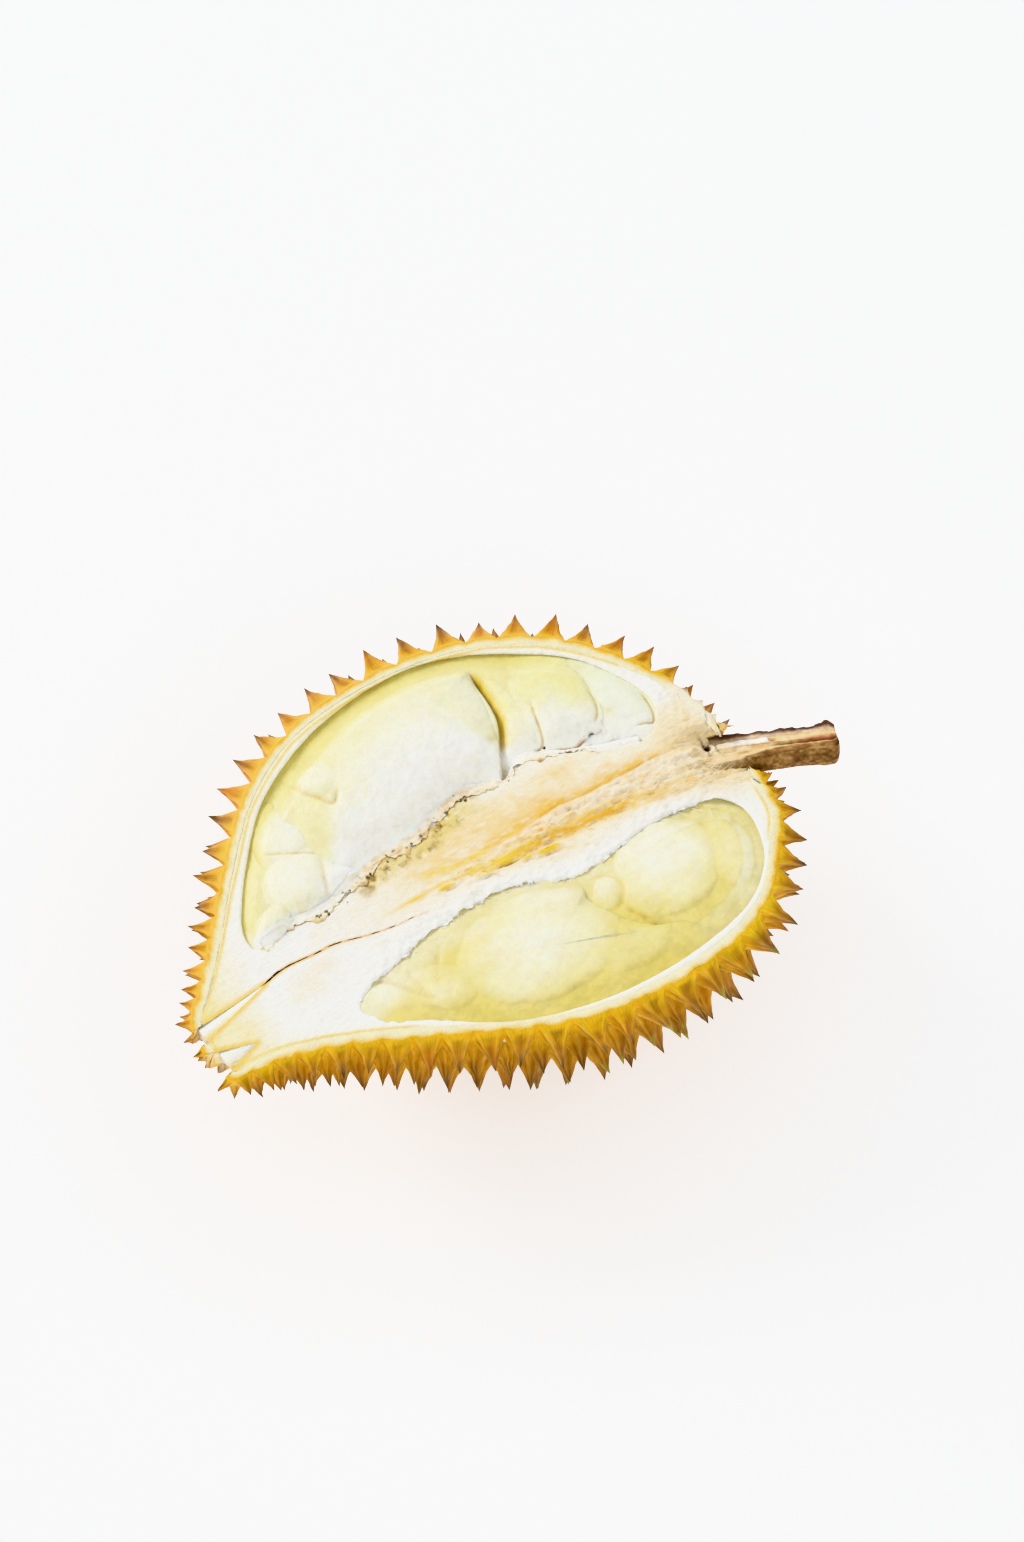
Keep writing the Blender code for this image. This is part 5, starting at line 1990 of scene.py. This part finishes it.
@dataclass
class Fibres:
    """Loose fibres that stand out where the fruit was torn: thin tapered strands."""

    sides: int = 4
    parts: int = 5

    def strand(self, foot: Array, aim: Array, length: float, radius: float, curl: Array) -> Array:
        """Draws one strand.

        Args:
            foot: Where it grows from.
            aim: Its direction.
            length: Its length in mm.
            radius: Its radius at the foot in mm.
            curl: How its tip bends away, in mm.

        Returns:
            The points, ring by ring, and the tip.
        """
        aim = aim / np.linalg.norm(aim)
        side = np.cross(aim, (0.3, 0.2, 1.0))
        side /= np.linalg.norm(side)
        other = np.cross(aim, side)
        turn = np.arange(self.sides) * 2 * math.pi / self.sides
        rings = []
        for k in range(self.parts):
            share = k / self.parts
            centre = foot + aim * length * share + curl * share**2
            reach = radius * (1 - 0.75 * share)
            rings.append(centre + reach * (np.cos(turn)[:, None] * side + np.sin(turn)[:, None] * other))
        return np.concatenate([*rings, [foot + aim * length + curl]])

    def build(self, pith: Pith, finish: Material) -> Object:
        """Scatters the strands over the torn places.

        Args:
            pith: The pith that they grow from.
            finish: Their material.

        Returns:
            The strands as one object.
        """
        chance = np.random.default_rng(151)
        strands = []

        def sow(line: Array, count: int, spread: float, aim: tuple, length: tuple, colours: tuple) -> None:
            """Scatters strands along a line: foot, aim, length, radius and colour of each."""
            for _ in range(count):
                k = chance.integers(0, len(line) - 1)
                run = line[k + 1] - line[k]
                run /= np.linalg.norm(run)
                foot = line[k] + chance.normal(0, spread, 2)
                way = run * aim[0] + np.array([-run[1], run[0]]) * aim[1] + chance.normal(0, 0.45, 2)
                way = np.array([*way, aim[2] + chance.uniform(-0.1, 0.35)])
                sizes = chance.uniform(*length), chance.uniform(0.08, 0.18)
                strands.append((foot, way, *sizes, linear(colours[chance.integers(len(colours))])))

        sow(LIP_LINE[8:], 120, 1.6, (0.5, -0.4, 0.05), (1.5, 4.0), ("#F5F4F0", "#F2EBDD", "#E6EAEA"))
        sow(TORN_LINE, 200, 0.9, (0.5, -0.5, 0.1), (1.2, 3.6), ("#F3E6C8", "#E4CB98", "#F6F1E4"))
        sow(CORE_LINE[60:], 150, 3.5, (1, 0, 0.12), (2.5, 7), ("#F7C65C", "#F3E0C2", "#F0C48C", "#F8EFDF"))
        sow(CORE_LINE[104:], 110, 5, (1, 0.1, 0.1), (3, 8), ("#F4E9D2", "#EBD0A0", "#E6C079", "#F8F2E4"))
        xy = np.array([strand[0] for strand in strands])
        z = pith.height(xy, pith.fields(xy)) - 0.15
        points, faces, tints = [], [], []
        size = self.sides * self.parts + 1
        for k, (foot, aim, length, radius, colour) in enumerate(strands):
            curl = chance.normal(0, 0.25, 3) * length
            curl[2] = -abs(curl[2]) * 0.6
            points.append(self.strand(np.array([*foot, z[k]]), aim, length, radius, curl))
            tints.append(np.tile(colour, (size, 1)))
            tip = (k + 1) * size - 1
            for low in range(k * size, tip, self.sides):
                for m in range(self.sides):
                    n = (m + 1) % self.sides
                    upper = (low + self.sides + n, low + self.sides + m)
                    faces.append((low + m, low + n, *(upper if low + self.sides < tip else (tip,))))
        return Shape(np.concatenate(points), faces, np.concatenate(tints)).make("loose_fibres", finish)


# ---- the stage


@dataclass
class Stage:
    """Floor, lights and camera: a pale sweep under soft studio light."""

    camera_from: tuple = (-343.67, -488.82, 1248.94)
    camera_to: tuple = (21.336, 32.459, 0.0)
    lens: float = 85.0
    floor_glow: float = 0.5
    floor_reach: float = 12.0
    sky: float = 0.66
    aim: tuple = (0, 0, 0.05)
    # Name, place in metres, side in metres and power in watts of each soft square light.
    lamps: tuple = (
        ("key", (-1.3, 2.6, 1.8), 1.4, 106),
        ("fill", (-1.0, -2.8, 1.6), 1.8, 26),
        ("side", (2.8, -0.2, 1.8), 1.4, 16),
    )

    def floor(self) -> Object:
        """Lays the plain pale floor.

        Returns:
            The floor.
        """
        material = bpy.data.materials.new("pale_sweep")
        material.use_nodes = True
        plain = {"Base Color": (*linear("#FDFDFD"), 1), "Emission Color": (1, 1, 1, 1),
                 "Emission Strength": self.floor_glow, "Roughness": 0.9, "Specular IOR Level": 0.1}
        for key, value in plain.items():
            material.node_tree.nodes["Principled BSDF"].inputs[key].default_value = value
        mesh = bmesh.new()
        bmesh.ops.create_grid(mesh, x_segments=2, y_segments=2, size=self.floor_reach)
        data = bpy.data.meshes.new("floor")
        mesh.to_mesh(data)
        mesh.free()
        data.materials.append(material)
        floor = bpy.data.objects.new("floor", data)
        bpy.context.scene.collection.objects.link(floor)
        return floor

    def lamp(self, name: str, at: tuple, size: float, power: float) -> None:
        """Hangs one soft square light that faces the fruit.

        Args:
            name: Its name.
            at: Where it hangs, in metres.
            size: Its side in metres.
            power: Its power in watts.
        """
        light = bpy.data.lights.new(name, "AREA")
        light.shape = "SQUARE"
        light.size = size
        light.energy = power
        obj = bpy.data.objects.new(name, light)
        obj.location = at
        obj.rotation_euler = (Vector(self.aim) - Vector(at)).to_track_quat("-Z", "Y").to_euler()
        bpy.context.scene.collection.objects.link(obj)

    def build(self) -> None:
        """Sets up floor, lights, sky and camera."""
        self.floor()
        for lamp in self.lamps:
            self.lamp(*lamp)
        bpy.context.scene.view_settings.view_transform = "Khronos PBR Neutral"
        world = bpy.data.worlds.new("studio")
        bpy.context.scene.world = world
        world.use_nodes = True
        sky = world.node_tree.nodes["Background"]
        sky.inputs["Color"].default_value = (*linear("#FAFCFF"), 1)
        sky.inputs["Strength"].default_value = self.sky
        camera = bpy.data.cameras.new("camera")
        camera.lens = self.lens
        camera.sensor_fit = "VERTICAL"
        camera.sensor_height = 36.0
        camera.clip_start = 0.05
        camera.clip_end = 20
        obj = bpy.data.objects.new("camera", camera)
        start, end = (Vector((np.array(p) + PLACE) * MM) for p in (self.camera_from, self.camera_to))
        obj.location = start
        obj.rotation_euler = (end - start).to_track_quat("-Z", "Y").to_euler()
        bpy.context.scene.collection.objects.link(obj)
        bpy.context.scene.camera = obj


def main() -> None:
    """Builds the fruit's pieces in order and reports each one."""
    logging.basicConfig(level=logging.INFO, format="%(name)s: %(message)s")
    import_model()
    husk = Husk()
    form = Pith(husk)
    rind = Rind(husk).build(SPINY_SKIN.make())
    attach(rind, "root")
    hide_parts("rind")
    LOG.info("rind: %d faces", len(rind.data.polygons))
    pith = form.build(PALE_PITH.make())
    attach(pith, "root")
    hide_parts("pith")
    LOG.info("pith: %d faces", len(pith.data.polygons))
    flesh = RIPE_FLESH.make()
    for pod in PODS:
        piece = pod.build(flesh)
        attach(piece, "root")
        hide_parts(pod.node)
        LOG.info("%s: %d faces", pod.name, len(piece.data.polygons))
    skin = TornSkin(form).build(PALE_PITH.make())
    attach(skin, "root")
    LOG.info("torn skin: %d faces", len(skin.data.polygons))
    stem = Stem().build(STALK.make())
    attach(stem, "root")
    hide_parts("stem")
    LOG.info("stem: %d faces", len(stem.data.polygons))
    fibres = Fibres().build(form, PALE_PITH.make())
    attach(fibres, "root")
    LOG.info("fibres: %d faces", len(fibres.data.polygons))
    Stage().build()


if __name__ == "__main__":
    main()
